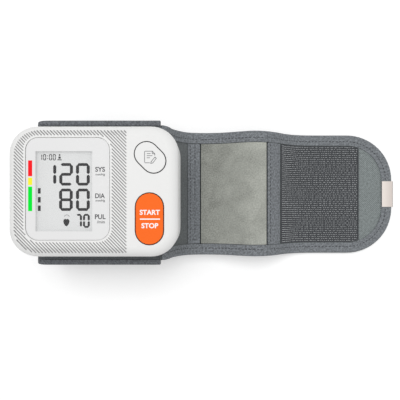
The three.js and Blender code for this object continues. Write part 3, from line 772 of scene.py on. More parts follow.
def lettering(words, box, height, thickness, weight=0.0):
    """Words as a solid mesh that fills a box of the photograph at a height."""
    curve = bpy.data.curves.new("words", "FONT")
    curve.body = words
    curve.extrude = 0.5
    curve.offset = weight
    curve.resolution_u = 4
    holder = linked("words", curve)
    shown = holder.evaluated_get(bpy.context.evaluated_depsgraph_get())
    mesh = bpy.data.meshes.new_from_object(shown)
    bm = bmesh.new()
    bm.from_mesh(mesh)
    bpy.data.objects.remove(holder)
    bpy.data.curves.remove(curve)
    bpy.data.meshes.remove(mesh)
    low, high = photo_box(box, height)
    near = Vector([min(v.co[i] for v in bm.verts) for i in range(3)])
    far = Vector([max(v.co[i] for v in bm.verts) for i in range(3)])
    for vert in bm.verts:
        share = [(vert.co[i] - near[i]) / (far[i] - near[i]) for i in range(3)]
        vert.co = (
            low.x + (high.x - low.x) * share[0],
            low.y + (high.y - low.y) * share[1],
            height + thickness * share[2],
        )
    bmesh.ops.remove_doubles(bm, verts=bm.verts[:], dist=0.001 * MM)
    return bm


def merged(target, *sources):
    """Adds meshes to one mesh."""
    for source in sources:
        held = bpy.data.meshes.new("held")
        source.to_mesh(held)
        source.free()
        target.from_mesh(held)
        bpy.data.meshes.remove(held)
    return target


# The bars of a seven-segment digit, as shares of its width and height: centre, and whether it stands
DIGIT_BARS = {
    "a": (0.5, 1.0, False),
    "b": (1.0, 0.75, True),
    "c": (1.0, 0.25, True),
    "d": (0.5, 0.0, False),
    "e": (0.0, 0.25, True),
    "f": (0.0, 0.75, True),
    "g": (0.5, 0.5, False),
}
DIGIT_CODES = {"0": "abcdef", "1": "bc", "2": "abged", "7": "abc", "8": "abcdefg"}


def add_digit(bm, digit, box, height, stroke):
    """One digit of the display in a box of the photograph."""
    low, high = photo_box(box, height)
    width = high.x - low.x - stroke
    tall = high.y - low.y - stroke
    for bar in DIGIT_CODES[digit]:
        across, up, stands = DIGIT_BARS[bar]
        centre = Vector((low.x + stroke / 2 + width * across, low.y + stroke / 2 + tall * up, height))
        size = (stroke, tall / 2 - stroke * 0.3) if stands else (width - stroke * 0.05, stroke * 0.92)
        flat_mark(bm, centre, size, corner=stroke * 0.38, segments=1)


# Operators: one for each group of like pieces


class MONITOR_OT_stage(bpy.types.Operator):
    """Place the camera, the floor, the lamps and the sky"""

    bl_idname = "monitor.stage"
    bl_label = "Stage"

    def execute(self, context):
        chosen = settings("stage")
        self.add_camera(context, chosen)
        self.add_floor(chosen)
        self.add_lamp("key_lamp", (0.02, 0.16, 0.82), 0.42, chosen.key_power)
        self.add_sky(context, chosen)
        context.scene.view_settings.view_transform = "Standard"
        return {"FINISHED"}

    def add_camera(self, context, chosen):
        data = bpy.data.cameras.new("camera")
        data.lens = chosen.camera_lens
        data.shift_y = chosen.camera_shift
        data.clip_start = 0.01
        data.clip_end = 10
        camera = linked("camera", data)
        camera.location = (chosen.camera_x, chosen.camera_y, chosen.camera_height)
        context.scene.camera = camera

    def add_floor(self, chosen):
        bm = bmesh.new()
        under = Matrix.Translation((0, 0, -FLOOR_DEPTH))
        bmesh.ops.create_grid(bm, x_segments=4, y_segments=4, size=4.0, matrix=under)
        mesh = bpy.data.meshes.new("floor")
        bm.to_mesh(mesh)
        bm.free()
        material, tree, shader = new_material("floor")
        seen = self.seen_by_camera(tree)
        feed(tree, shader, {
            "Base Color": opaque(chosen.floor), "Roughness": 0.9, "Specular IOR Level": 0.0,
            "Emission Color": (1, 1, 1, 1),
            "Emission Strength": maths(tree, "MULTIPLY", seen, chosen.floor_glow),
        })
        mesh.materials.append(material)
        floor = linked("floor", mesh)

    def seen_by_camera(self, tree):
        path = add_node(tree, "ShaderNodeLightPath")
        first = maths(tree, "ADD", path.outputs["Is Camera Ray"], path.outputs["Is Glossy Ray"])
        return maths(tree, "MINIMUM", maths(tree, "ADD", first, path.outputs["Is Transmission Ray"]), 1.0)

    def add_lamp(self, name, place, size, power):
        data = bpy.data.lights.new(name, "AREA")
        data.shape = "SQUARE"
        data.size = size
        data.energy = power
        lamp = linked(name, data)
        lamp.location = place
        lamp.visible_glossy = False
        target = Vector((settings("stage").camera_x, 0, 0.03))
        lamp.rotation_euler = (target - Vector(place)).to_track_quat("-Z", "Y").to_euler()

    def add_sky(self, context, chosen):
        world = bpy.data.worlds.new("sky")
        context.scene.world = world
        world.use_nodes = True
        tree = world.node_tree
        tree.nodes.clear()
        seen = self.seen_by_camera(tree)
        strength = maths(tree, "MULTIPLY_ADD", seen, 1.0 - chosen.sky, chosen.sky)
        back = add_node(tree, "ShaderNodeBackground", {"Color": (1, 1, 1, 1), "Strength": strength})
        add_node(tree, "ShaderNodeOutputWorld", {"Surface": back.outputs[0]})


class MONITOR_OT_casing(bpy.types.Operator):
    """Build the two covers, the battery door and the hatch on the face"""

    bl_idname = "monitor.casing"
    bl_label = "Casing"

    def execute(self, context):
        chosen = settings("casing")
        plastic = moulded_material(
            "casing_plastic", chosen.shell, 0.42, grain=2200.0, spread=0.06, bump=0.1, tone=0.012
        )
        for node in ("front_cover", "rear_cover", "battery_door"):
            bm = copied(node)
            new_piece(f"{node}_shell", bm, plastic, body_of(node), [node], angle=34)
        self.add_hatch(chosen)
        return {"FINISHED"}

    def add_hatch(self, chosen):
        """Slanted lines on the face, kept off its edge, the window and the controls."""
        top = box_top("front_cover")
        low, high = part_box("front_cover")
        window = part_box("display_window")
        left_margin, near_margin, far_margin = 3.3 * MM, 2.1 * MM, 2.4 * MM
        left, right = low.x + left_margin, 15.6 * MM
        near, far = low.y + near_margin, high.y - far_margin
        field_corner, window_corner = 11.4 * MM, 5.6 * MM
        margin = 1.08 * MM
        slope = 1.02  # how far a line falls over its length along the casing
        first_share = 0.77  # of a pitch, from the field's corner to the first line

        def in_field(x, y):
            if not (left < x < right and near < y < far):
                return False
            cx = left + field_corner
            cy = min(max(y, near + field_corner), far - field_corner)
            return x > cx or math.hypot(x - cx, y - cy) < field_corner

        def in_window(x, y):
            cx = min(max(x, window[0].x + window_corner), window[1].x - window_corner)
            cy = min(max(y, window[0].y + window_corner), window[1].y - window_corner)
            return math.hypot(x - cx, y - cy) < window_corner + margin

        bm = bmesh.new()
        step = 0.08 * MM
        count = int(((right - left) * slope + far - near) / chosen.hatch_pitch) + 1
        for i in range(count):
            level = left * slope + near + chosen.hatch_pitch * (i + first_share)
            steps = int((right - left) / step)
            run = []
            for j in range(steps + 1):
                x = left + step * j
                y = level - x * slope
                if in_field(x, y) and not in_window(x, y):
                    run.append((x, y))
                    continue
                self.add_line(bm, run, top, chosen.hatch_width)
                run = []
            self.add_line(bm, run, top, chosen.hatch_width)
        risen(bm, 0.04 * MM)
        ink = moulded_material("hatch_print", chosen.hatch, 0.55, tone=0.05)
        new_piece("hatch_lines", bm, ink, "monitor", weighted=False)

    def add_line(self, bm, run, height, width):
        if len(run) < 8:
            return
        start, end = Vector(run[0]), Vector(run[-1])
        centre = (start + end) / 2
        size = ((end - start).length, width)
        lean = math.atan2(end.y - start.y, end.x - start.x)
        flat_mark(bm, (centre.x, centre.y, height - SUNK), size, lean, width * 0.45, 2)


class MONITOR_OT_window(bpy.types.Operator):
    """Build the window, its printed labels and bars, and the display with its digits"""

    bl_idname = "monitor.window"
    bl_label = "Window and display"

    def execute(self, context):
        chosen = settings("casing")
        shown = settings("display")
        bm = copied("display_window")
        rounded(bm, sharp_edges(bm), 0.12 * MM, 2)
        lens = self.lens_material(chosen)
        new_piece("window_lens", bm, lens, "monitor", ["display_window"])
        dress("display_glass", moulded_material("display_panel", shown.glass, 0.35, grain=400.0, tone=0.01))
        self.add_bars(chosen)
        self.add_labels(chosen)
        self.add_digits(shown)
        return {"FINISHED"}

    def lens_material(self, chosen):
        """A glossy plate whose middle is clear."""
        material, tree, shader = new_material("window_plate")
        place = add_node(tree, "ShaderNodeTexCoord").outputs["Object"]
        low, high = photo_box(CLEAR_BOX, box_top("display_window"))
        centre = (low + high) / 2
        to_middle = {"Vector": place, "Location": (-centre.x, -centre.y, 0)}
        moved = add_node(tree, "ShaderNodeMapping", to_middle, vector_type="POINT").outputs[0]
        split = add_node(tree, "ShaderNodeSeparateXYZ", {0: moved})
        inside_x = maths(tree, "LESS_THAN", maths(tree, "ABSOLUTE", split.outputs[0]), (high.x - low.x) / 2)
        inside_y = maths(tree, "LESS_THAN", maths(tree, "ABSOLUTE", split.outputs[1]), (high.y - low.y) / 2)
        clear = maths(tree, "MULTIPLY", inside_x, inside_y)
        flow = add_group(tree, "moulded_surface", {"Vector": place, "Grain": 900.0, "Spread": 0.04})
        dark, light = shaded(chosen.window, 0.985), shaded(chosen.window, 1.015)
        mixed = blended(tree, flow.outputs["Tone"], dark, light)
        alpha = maths(tree, "SUBTRACT", 1.0, maths(tree, "MULTIPLY", clear, 0.97))
        shadow = add_node(tree, "ShaderNodeLightPath").outputs["Is Shadow Ray"]
        lit = maths(tree, "SUBTRACT", 1.0, maths(tree, "MULTIPLY", shadow, 0.75))
        feed(tree, shader, {
            "Base Color": mixed, "Alpha": maths(tree, "MULTIPLY", alpha, lit),
            "Roughness": maths(tree, "ADD", flow.outputs["Roughness"], 0.16),
        })
        return material

    def add_bars(self, chosen):
        """The three printed bars that the display's marks stand beside."""
        height = box_top("display_window") - SUNK
        bars = {
            "high_bar": (0xFF2028, (28.1, 160.4, 32.2, 176.2)),
            "middle_bar": (0xFFF53C, (28.1, 177.7, 32.2, 185.0)),
            "low_bar": (0x00EE3C, (28.1, 186.6, 32.2, 211.1)),
        }
        for name, (code, box) in bars.items():
            bm = bmesh.new()
            photo_bar(bm, box, height)
            risen(bm, 0.03 * MM)
            ink = moulded_material(f"{name}_ink", tint(code), 0.4, shine=0.1)
            new_piece(name, bm, ink, "monitor", weighted=False)

    def add_labels(self, chosen):
        height = box_top("display_window") - SUNK
        rows = [
            ("SYS", (95.2, 166.9, 105.0, 171.8), 0.022),
            ("mmHg", (95.6, 173.3, 105.0, 176.2), 0.012),
            ("DIA", (95.2, 193.4, 104.8, 198.2), 0.022),
            ("mmHg", (95.6, 199.4, 105.0, 202.3), 0.012),
            ("PUL", (94.9, 214.3, 105.6, 219.2), 0.022),
            ("/min", (97.0, 220.4, 104.8, 223.4), 0.012),
        ]
        bm = bmesh.new()
        for words, box, weight in rows:
            merged(bm, lettering(words, box, height, 0.03 * MM, weight))
        ink = moulded_material("label_ink", chosen.print_grey, 0.5)
        new_piece("value_labels", bm, ink, "monitor", weighted=False)

    def add_digits(self, shown):
        height = box_top("display_glass") - SUNK
        bm = bmesh.new()
        stroke = shown.stroke
        rows = [
            ("1", (42.6, 163.0, 56.3, 185.7), stroke),
            ("2", (59.3, 163.0, 73.0, 185.7), stroke),
            ("0", (76.0, 163.0, 89.8, 185.7), stroke),
            ("8", (59.1, 188.5, 72.8, 211.0), stroke),
            ("0", (76.0, 188.5, 89.8, 211.0), stroke),
            ("7", (75.8, 213.8, 82.0, 227.9), stroke * 0.68),
            ("0", (83.0, 213.8, 89.8, 227.9), stroke * 0.68),
        ]
        for digit, box, width in rows:
            add_digit(bm, digit, box, height, width)
        for top in (188.1, 197.0, 205.5):
            photo_bar(bm, (37.9, top, 40.7, top + 5.5), height)
        self.add_heart(bm, height)
        risen(bm, 0.03 * MM)
        ink = moulded_material("display_ink", shown.segment, 0.4, shine=0.1)
        new_piece("display_digits", bm, ink, "monitor", weighted=False)
        self.add_clock(shown, height)

    def add_heart(self, bm, height):
        """A heart, shaped from a round disc: flat and notched above, drawn to a point below."""
        centre = photo_spot(66.4, 221.2, height)
        half_width, rise, fall = 1.42 * MM, 1.2 * MM, 2.35 * MM
        made = bmesh.ops.create_circle(bm, cap_ends=True, segments=40, radius=1)
        for vert in made["verts"]:
            across, up = vert.co.x, vert.co.y
            if up > 0:
                notch = 0.3 * math.exp(-((across / 0.25) ** 2))
                place = Vector((across * half_width, (up - notch) * rise, 0))
            else:
                narrowed = 1 - 0.35 * up * up
                place = Vector((across * narrowed * half_width, up * fall, 0))
            vert.co = centre + place

    def add_clock(self, shown, height):
        """The small clock, the arc over the heart and the sitting mark."""
        bm = bmesh.new()
        for digit, left in (("1", 39.2), ("0", 43.1), ("0", 49.1), ("0", 52.8)):
            add_digit(bm, digit, (left, 154.0, left + 3.0, 160.4), height, 0.4 * MM)
        for up in (155.9, 158.6):
            photo_bar(bm, (47.2, up - 0.4, 48.1, up + 0.4), height)
        for box in ((58.8, 154.2, 60.4, 155.8), (58.4, 156.5, 60.8, 158.7), (57.5, 159.3, 61.7, 160.3)):
            photo_bar(bm, box, height, 0.3)
        for i in range(9):
            a = math.radians(150 - 15 * i)
            px, py = 66.9 + 2.7 * math.cos(a), 217.6 - 2.7 * math.sin(a)
            photo_bar(bm, (px - 0.35, py - 0.22, px + 0.35, py + 0.22), height)
        risen(bm, 0.025 * MM)
        ink = moulded_material("display_faint_ink", shown.faint, 0.4, shine=0.1)
        new_piece("display_clock", bm, ink, "monitor", weighted=False)


class MONITOR_OT_buttons(bpy.types.Operator):
    """Build the start and memory buttons with their words and icon"""

    bl_idname = "monitor.buttons"
    bl_label = "Buttons"

    def execute(self, context):
        chosen = settings("casing")
        orange = moulded_material(
            "start_plastic", chosen.start, 0.38, grain=1800.0, spread=0.06, tone=0.015, shine=0.3
        )
        white = moulded_material("memory_plastic", chosen.shell, 0.4, grain=1800.0, spread=0.06, tone=0.012)
        for node, plastic, slot in (
            ("start_button", orange, "button_orange"), ("memory_button", white, "casing_white")
        ):
            bm = copied(node)
            top = box_top(node)
            rim = [e for e in sharp_edges(bm, 60) if all(abs(v.co.z - top) < 0.01 * MM for v in e.verts)]
            rounded(bm, rim, 0.28 * MM, 4)
            new_piece(f"{node}_cap", bm, plastic, body_of(node), [node], angle=50)
        self.add_seals(chosen)
        self.add_words(chosen)
        self.add_icon(chosen)
        return {"FINISHED"}

    def add_seals(self, chosen):
        """A soft dark lip in the gap round each button, seen as its outline."""
        rubber = moulded_material("seal_rubber", chosen.seam, 0.7, shine=0.2)
        depth, tall, below_cap = 0.42 * MM, 1.2 * MM, 0.32 * MM
        for node in ("start_button", "memory_button"):
            bm = copied(node)
            top = box_top(node) - below_cap
            trimmed(bm, top - tall, top, axis=(0, 0, 1))
            walls = [f for f in bm.faces if abs(f.normal.z) < 0.5]
            others = [f for f in bm.faces if f not in walls]
            bmesh.ops.delete(bm, geom=others, context="FACES")
            bmesh.ops.solidify(bm, geom=bm.faces[:], thickness=-depth)
            bmesh.ops.recalc_face_normals(bm, faces=bm.faces[:])
            new_piece(f"{node}_seal", bm, rubber, "monitor")

    def add_words(self, chosen):
        height = box_top("start_button") - SUNK
        bm = bmesh.new()
        rows = [("START", (139.7, 209.8, 159.9, 214.9)), ("STOP", (141.4, 223.1, 158.3, 228.3))]
        for words, box in rows:
            merged(bm, lettering(words, box, height, 0.04 * MM, 0.03))
        bar = bmesh.new()
        photo_bar(bar, (139.9, 218.5, 160.0, 219.7), height)
        risen(bar, 0.04 * MM)
        merged(bm, bar)
        ink = moulded_material("button_word_ink", tint(0xFFFFFF), 0.45)
        new_piece("start_words", bm, ink, "start_button_body", weighted=False)

    def add_icon(self, chosen):
        """A page with lines and a pen, as printed outlines."""
        height = box_top("memory_button") - SUNK
        bm = bmesh.new()
        strokes = [
            ((144.6, 151.6), (144.6, 162.2)), ((144.9, 151.2), (152.4, 151.2)),
            ((152.6, 151.4), (154.6, 153.6)), ((144.9, 162.8), (149.6, 162.8)),
            ((154.8, 153.8), (154.8, 155.4)), ((152.3, 151.6), (152.3, 153.6)),
            ((152.5, 153.8), (154.4, 153.8)), ((146.9, 153.6), (150.4, 153.6)),
            ((146.9, 155.7), (152.2, 155.7)), ((146.9, 157.8), (149.8, 157.8)),
            ((151.2, 161.6), (155.0, 157.0)), ((152.9, 162.9), (156.3, 158.3)),
            ((155.0, 157.0), (156.3, 158.3)), ((151.2, 161.6), (150.7, 163.4)),
            ((152.9, 162.9), (150.7, 163.4)),
        ]
        for start, end in strokes:
            near = photo_spot(*start, height)
            far = photo_spot(*end, height)
            way = far - near
            size = (way.length + 0.2 * MM, 0.32 * MM)
            flat_mark(bm, (near + far) / 2, size, math.atan2(way.y, way.x), 0.1 * MM, 2)
        risen(bm, 0.03 * MM)
        ink = moulded_material("icon_ink", chosen.icon_grey, 0.5)
        new_piece("memory_icon", bm, ink, "memory_button_body", weighted=False)


class MONITOR_OT_inner_parts(bpy.types.Operator):
    """Give the parts inside the casing their finishes and wind the springs"""

    bl_idname = "monitor.inner_parts"
    bl_label = "Inner parts"

    def execute(self, context):
        black = moulded_material("black_plastic", tint(0x2B2B2D), 0.5, tone=0.08)
        steel = moulded_material("bright_steel", tint(0xB8B8B6), 0.28, metallic=1.0, grain=600.0, spread=0.15)
        shell = moulded_material("shell_plastic", tint(0xCFCFCA), 0.5, spread=0.1)
        white = moulded_material("nozzle_plastic", tint(0xE4E4E2), 0.45)
        brass = moulded_material("valve_brass", tint(0xC8A24A), 0.32, metallic=1.0, grain=500.0, spread=0.15)
        finishes = {
            black: (
                "display_holder", "start_switch", "memory_switch", "buzzer", "pressure_sensor", "pump_head"
            ),
            steel: ("battery_link", "battery_terminal_1", "battery_terminal_2"),
            shell: ("cuff_mount_plate", "preformed_shell"),
            white: ("cuff_nozzle",),
            brass: ("release_valve",),
            self.board_material(): ("circuit_board",),
        }
        for material, nodes in finishes.items():
            for node in nodes:
                dress(node, material)
        self.add_smooth_parts(steel)
        self.add_springs(steel)
        return {"FINISHED"}

    def board_material(self):
        """Green solder mask over copper tracks, with tinned pads."""
        material, tree, shader = new_material("board_mask")
        place = add_node(tree, "ShaderNodeTexCoord").outputs["Object"]
        tracks = add_node(
            tree, "ShaderNodeTexBrick", {"Vector": place, "Scale": 160.0, "Mortar Size": 0.06, "Bias": 0.0}
        )
        tone = add_group(tree, "moulded_surface", {"Vector": place, "Grain": 900.0})
        green = blended(tree, tone.outputs["Tone"], opaque(tint(0x2A6236)), opaque(tint(0x357544)))
        mixed = blended(tree, tracks.outputs["Fac"], green, opaque(tint(0x4B8A55)))
        feed(tree, shader, {"Base Color": mixed, "Roughness": 0.4})
        add_bump(tree, shader, tracks.outputs["Fac"], 0.3, 0.05 * MM)
        return material

    def cell_material(self):
        """A coloured wrapper with bare steel at the ends."""
        material, tree, shader = new_material("cell_wrap")
        place, parts = object_place(tree)
        bare_from, band_from = 22.6 * MM, 14 * MM
        end = maths(tree, "GREATER_THAN", maths(tree, "ABSOLUTE", parts[1]), bare_from)
        band = maths(tree, "GREATER_THAN", parts[1], band_from)
        wrap = blended(tree, band, opaque(tint(0x3D6FB0)), opaque(tint(0xC9CCD0)))
        tone = add_group(tree, "moulded_surface", {"Vector": place})
        feed(tree, shader, {
            "Base Color": blended(tree, end, wrap, opaque(tint(0xB8B8B6))), "Metallic": end,
            "Roughness": maths(tree, "ADD", tone.outputs["Roughness"], 0.35),
        })
        return material

    def add_smooth_parts(self, steel):
        """Round parts, as joined copies of their nodes, so that they shade smoothly."""
        hose = moulded_material("hose_rubber", tint(0xD8D8D4), 0.6)
        wrap = self.cell_material()
        parts = {
            "battery_1": (wrap, "cell_wrapper"),
            "battery_2": (wrap, "cell_wrapper"),
            "pump_motor": (steel, "steel"),
            "air_tube": (hose, "hose_rubber"),
            **{f"case_screw_{number}": (steel, "steel") for number in range(1, 5)},
        }
        for node, (material, slot) in parts.items():
            new_piece(f"{node}_smooth", copied(node), material, "monitor", [node])

    def add_springs(self, steel):
        """Conical contact springs, wound from a round wire."""
        wire = 0.32 * MM
        turns = 4
        for node in ("battery_spring_1", "battery_spring_2"):
            low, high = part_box(node)
            centre = (low + high) / 2
            radius = (high.x - low.x) / 2 - wire
            tall = high.y - low.y - wire * 2
            bm = bmesh.new()
            place = Matrix.Translation((radius, wire, 0))
            bmesh.ops.create_circle(bm, cap_ends=False, segments=8, radius=wire, matrix=place)
            steps = 18 * turns
            bmesh.ops.spin(
                bm, geom=bm.verts[:] + bm.edges[:], cent=(0, 0, 0), axis=(0, 1, 0), dvec=(0, tall / steps, 0),
                angle=math.tau * turns, steps=steps, use_merge=False, use_duplicate=False,
            )
            for vert in bm.verts:
                share = min(max(vert.co.y / (tall + wire * 2), 0), 1)
                taper = 1 - 0.3 * share
                vert.co = Vector((vert.co.x * taper, vert.co.y, vert.co.z * taper))
            bmesh.ops.holes_fill(bm, edges=[e for e in bm.edges if e.is_boundary])
            way, foot = (1, low.y) if node.endswith("1") else (-1, high.y)
            bmesh.ops.scale(bm, vec=(1, way, 1), verts=bm.verts[:])
            bmesh.ops.translate(bm, verts=bm.verts[:], vec=(centre.x, foot, centre.z))
            bmesh.ops.recalc_face_normals(bm, faces=bm.faces[:])
            new_piece(f"{node}_coil", bm, steel, "monitor", [node])


class MONITOR_OT_cuff(bpy.types.Operator):
    """Build the cuff's cloths, its edge tapes, the bladder, the ring and its tab"""

    bl_idname = "monitor.cuff"
    bl_label = "Cuff"

    def execute(self, context):
        chosen = settings("cuff")
        cloth = cloth_material(
            "cuff_cloth", "plain_weave", chosen.cloth, Pitch=chosen.thread_pitch, Wear=0.5
        )
        lining = cloth_material(
            "lining_cloth", "brushed_nap", chosen.lining, sheen=0.1, bump=0.4, Fibre=45.0
        )
        # Painted shade: the cuff's edge tape is painted darker than the strap's binding, as the casing shades
        # it.
        tape = tape_material("cuff_edge_tape_in_shade", chosen.edge)
        self.add_cloths(cloth, lining)
        self.add_edges(tape)
        self.add_bladder()
        self.add_ring(tape)
        return {"FINISHED"}

    def add_cloths(self, cloth, lining):
        half = CUFF_HALF - EDGE_TAPE - GAP
        step = 2.2 * MM
        layers = (
            ("cuff_cover_cloth", "cuff_outer_cover", (0, COVER_THICKNESS), cloth, "preformed_shell"),
            ("cuff_lining_cloth", "cuff_inner_lining", LINING_DEPTH, lining, "air_bladder_skin"),
        )
        for name, node, depth, material, under in layers:
            bm = strip(0, CUFF.length, -half, half, *depth, 0.2 * MM, step=step)
            piece = new_piece(name, bent(bm, CUFF), material, "monitor", [node])

    def add_edges(self, tape):
        depth = LINING_DEPTH[1]
        for name, side in (("cuff_binding_front", -1), ("cuff_binding_rear", 1)):
            inner = side * (CUFF_HALF - EDGE_TAPE)
            outer = side * CUFF_HALF
            ends = sorted((inner, outer))
            bm = strip(0, CUFF.length, *ends, 0, depth, edge=0.3 * MM, outer=1.1 * MM, step=2.2 * MM)
            new_piece(f"{name}_tape", bent(bm, CUFF), tape, "monitor", [name])
        half = CUFF_HALF - EDGE_TAPE - GAP
        closings = {
            "strap_exit_tape": (0.2 * MM, 1.4 * MM, -half, half, 2.7 * MM, 4.4 * MM),
            "lip_tape_outer": (CUFF.length - 1.2 * MM, CUFF.length, -half, half, 1.1 * MM, 1.7 * MM),
            "lip_tape_inner": (CUFF.length - 1.2 * MM, CUFF.length, -half, half, 3.8 * MM, 4.4 * MM),
        }
        for name, ends in closings.items():
            bm = strip(*ends, 0.15 * MM)
            new_piece(name, bent(bm, CUFF), tape, "monitor")

    def add_bladder(self):
        """A thin welded bag with a flat rim, a little fuller in its middle."""
        low, high = BLADDER_DEPTH
        start, end = 3 * MM, CUFF.length - 5.3 * MM
        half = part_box("air_bladder")[1].y
        bm = strip(start, end, -half, half, low, high, 0.2 * MM, step=3 * MM)
        sliced(bm, -half, half, 6 * MM, axis=(0, 1, 0))
        middle = (low + high) / 2
        rim = 4 * MM
        for vert in bm.verts:
            inside = min(half - abs(vert.co.y), vert.co.x - start, end - vert.co.x)
            full = 0.45 + 0.55 * min(max(inside / rim, 0), 1)
            vert.co.z = middle + (vert.co.z - middle) * full
        rubber = cloth_material(
            "bladder_skin", "brushed_nap", tint(0x55585A), sheen=0.0, bump=0.15, Fibre=20.0
        )
        bent(bm, CUFF)
        bag = new_piece("air_bladder_skin", bm, rubber, "monitor", ["air_bladder"])

    def add_ring(self, tape):
        black = moulded_material("ring_plastic", tint(0x2B2B2D), 0.42, tone=0.06)
        bar = copied("strap_ring")
        new_piece("strap_ring_bar", bar, black, "ring", ["strap_ring"], angle=50)
        half = TAB_THICKNESS / 2
        bm = strip(0, TAB.length, -TAB_HALF, TAB_HALF, -half, half, 0.15 * MM, step=0.5 * MM)
        tab = new_piece("ring_tab_cloth", bent(bm, TAB), tape, "monitor", ["ring_tab"])


def tape_material(name="binding_tape", base=None):
    return cloth_material(
        name, "twill_ribs", base or settings("strap").tape, dark=0.55, light=1.45, bump=0.55, depth=0.15 * MM,
        Pitch=0.085, Slant=0.6, Wear=0.95,
    )


class MONITOR_OT_strap(bpy.types.Operator):
    """Build the strap's webs, bindings, tapes, panels and hooks"""

    bl_idname = "monitor.strap"
    bl_label = "Strap"

    def execute(self, context):
        chosen = settings("strap")
        tape = tape_material()
        web = cloth_material("strap_web", "plain_weave", chosen.web, Pitch=0.065, Wear=0.5)
        twill = cloth_material(
            "end_twill", "twill_ribs", chosen.twill, dark=0.45, light=1.55, bump=0.5, depth=0.12 * MM,
            Pitch=0.12, Slant=1.0, Wear=0.4,
        )
        self.add_webs(web, twill)
        self.add_bindings(tape)
        self.add_panels(chosen, tape)
        self.add_hooks(chosen)
        self.add_clip()
        return {"FINISHED"}

    def add_webs(self, web, twill):
        half = STRAP_HALF - WEB_INSET
        start = 0
        for name, (end, body) in STRAP_RUNS.items():
            bm = strip(start, end, -half, half, -WEB_HALF, WEB_HALF)
            cloth = bent(bm, STRAP)
            piece = new_piece(f"{name}_web_cloth", cloth, web, body, [f"{name}_web"])
            start = LIFT_SEAM + SEAM_GAP
        start = FOLD_SEAM + SEAM_GAP
        bm = tip_outline(WEB_INSET, start)
        raised(bm, -WEB_HALF, WEB_HALF)
        sliced(bm, start, STRAP_LENGTH, BEND_STEP)
        piece = new_piece(
            "strap_end_web_cloth", bent(bm, STRAP), twill, "strap_outer", ["strap_end_web"]
        )

    def add_bindings(self, tape):
        start = BINDING_START
        for name, (end, body) in STRAP_RUNS.items():
            for side, sign in (("front", -1), ("rear", 1)):
                ends = sorted((sign * (STRAP_HALF - TAPE_WIDTH), sign * STRAP_HALF))
                bm = strip(start, end, *ends, -TAPE_HALF, TAPE_HALF, edge=0.3 * MM, outer=1.15 * MM)
                node = f"{name}_binding_{side}"
                new_piece(f"{node}_tape", bent(bm, STRAP), tape, body, [node])
            start = LIFT_SEAM + SEAM_GAP
        chosen = settings("strap")
        # Painted shade: the web across both seams is painted dark, as shadow deep in each seam.
        crease_shade = cloth_material("crease_shade_web", "plain_weave", chosen.crease_shade, Pitch=0.065, Wear=0.4)
        self.add_seam_cloths("lift_seam", LIFT_SEAM, ("monitor", "strap_middle"), 0.05 * MM, tape, crease_shade)
        self.add_seam_cloths("fold_seam", FOLD_SEAM, ("strap_middle", "strap_outer"), 0.25 * MM, tape, crease_shade)
        self.add_tip_binding(tape)

    def add_seam_cloths(self, name, seam, bodies, skin, tape, crease_shade):
        """Cloth that runs on inside the bindings and the web across a seam, bent along the strap's line as it
        lies.
        """
        reach = 1.6 * MM
        start, end = seam - reach, seam + reach
        near, far = (Vector((x, 0, z)) for x, z in (STRAP.at(start, 0), STRAP.at(end, 0)))
        inner = STRAP_HALF - TAPE_WIDTH
        outer = STRAP_HALF - skin
        height = TAPE_HALF - skin
        cloths = {
            f"{name}_binding_front": (-outer, -inner - skin, -height, height, 1.0 * MM, tape),
            f"{name}_binding_rear": (inner + skin, outer, -height, height, 1.0 * MM, tape),
            # Painted shade: the web across the seam takes the dark seam cloth.
            f"{name}_web": (-inner, inner, 0.05 * MM - WEB_HALF, WEB_HALF + 0.12 * MM, None, crease_shade),
        }
        for piece_name, (near_side, far_side, low, high, outer_edge, cloth) in cloths.items():
            edge = 0.3 * MM if outer_edge else 0.15 * MM
            bm = strip(start, end, near_side, far_side, low, high, edge=edge, outer=outer_edge, step=0.4 * MM)
            piece = new_piece(piece_name, bent(bm, STRAP), cloth, None)
            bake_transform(piece)

    def add_tip_binding(self, tape):
        start = FOLD_SEAM + SEAM_GAP
        bm = tip_outline(0, start - TAPE_WIDTH)
        bmesh.ops.inset_region(
            bm, faces=bm.faces[:], thickness=TAPE_WIDTH, use_boundary=True, use_even_offset=True
        )
        inner = max(bm.faces, key=lambda face: face.calc_area())
        bmesh.ops.delete(bm, geom=[inner], context="FACES")
        trimmed(bm, start, STRAP_LENGTH + TAPE_WIDTH)
        raised(bm, -TAPE_HALF, TAPE_HALF)
        outer = [e for e in sharp_edges(bm, 60) if self.on_rim(e)]
        rounded(bm, outer, 1.15 * MM, 5)
        sliced(bm, start, STRAP_LENGTH, BEND_STEP)
        new_piece("end_binding_tape", bent(bm, STRAP), tape, "strap_outer", ["end_binding"])

    def on_rim(self, edge):
        """Whether an edge runs along the strap's outer outline."""
        for vert in edge.verts:
            past = max(vert.co.x - TIP_BEND, 0)
            beyond = max(abs(vert.co.y) - TIP_FLAT, 0)
            if past:
                on = abs(math.hypot(past, beyond) - TIP_CORNER) < 0.3 * MM
            else:
                on = abs(abs(vert.co.y) - STRAP_HALF) < 0.05 * MM
            if not on and abs(vert.co.x - STRAP_LENGTH) > 0.05 * MM:
                return False
        level = abs(edge.verts[0].co.z - edge.verts[1].co.z) < 0.01 * MM
        along = (edge.verts[0].co - edge.verts[1].co).length > 0.1 * MM
        return level and along

    def panel(self, start, end):
        """A flat panel between the bindings, following the tip's curve, and its area."""
        bm = tip_outline(TAPE_WIDTH + GAP, start - 2 * MM)
        trimmed(bm, start, end)
        area = sum(face.calc_area() for face in bm.faces)
        raised(bm, *PANEL_HEIGHT)
        rounded(bm, sharp_edges(bm, 60), 0.12 * MM, 2)
        sliced(bm, start, end, BEND_STEP)
        return bent(bm, STRAP), area

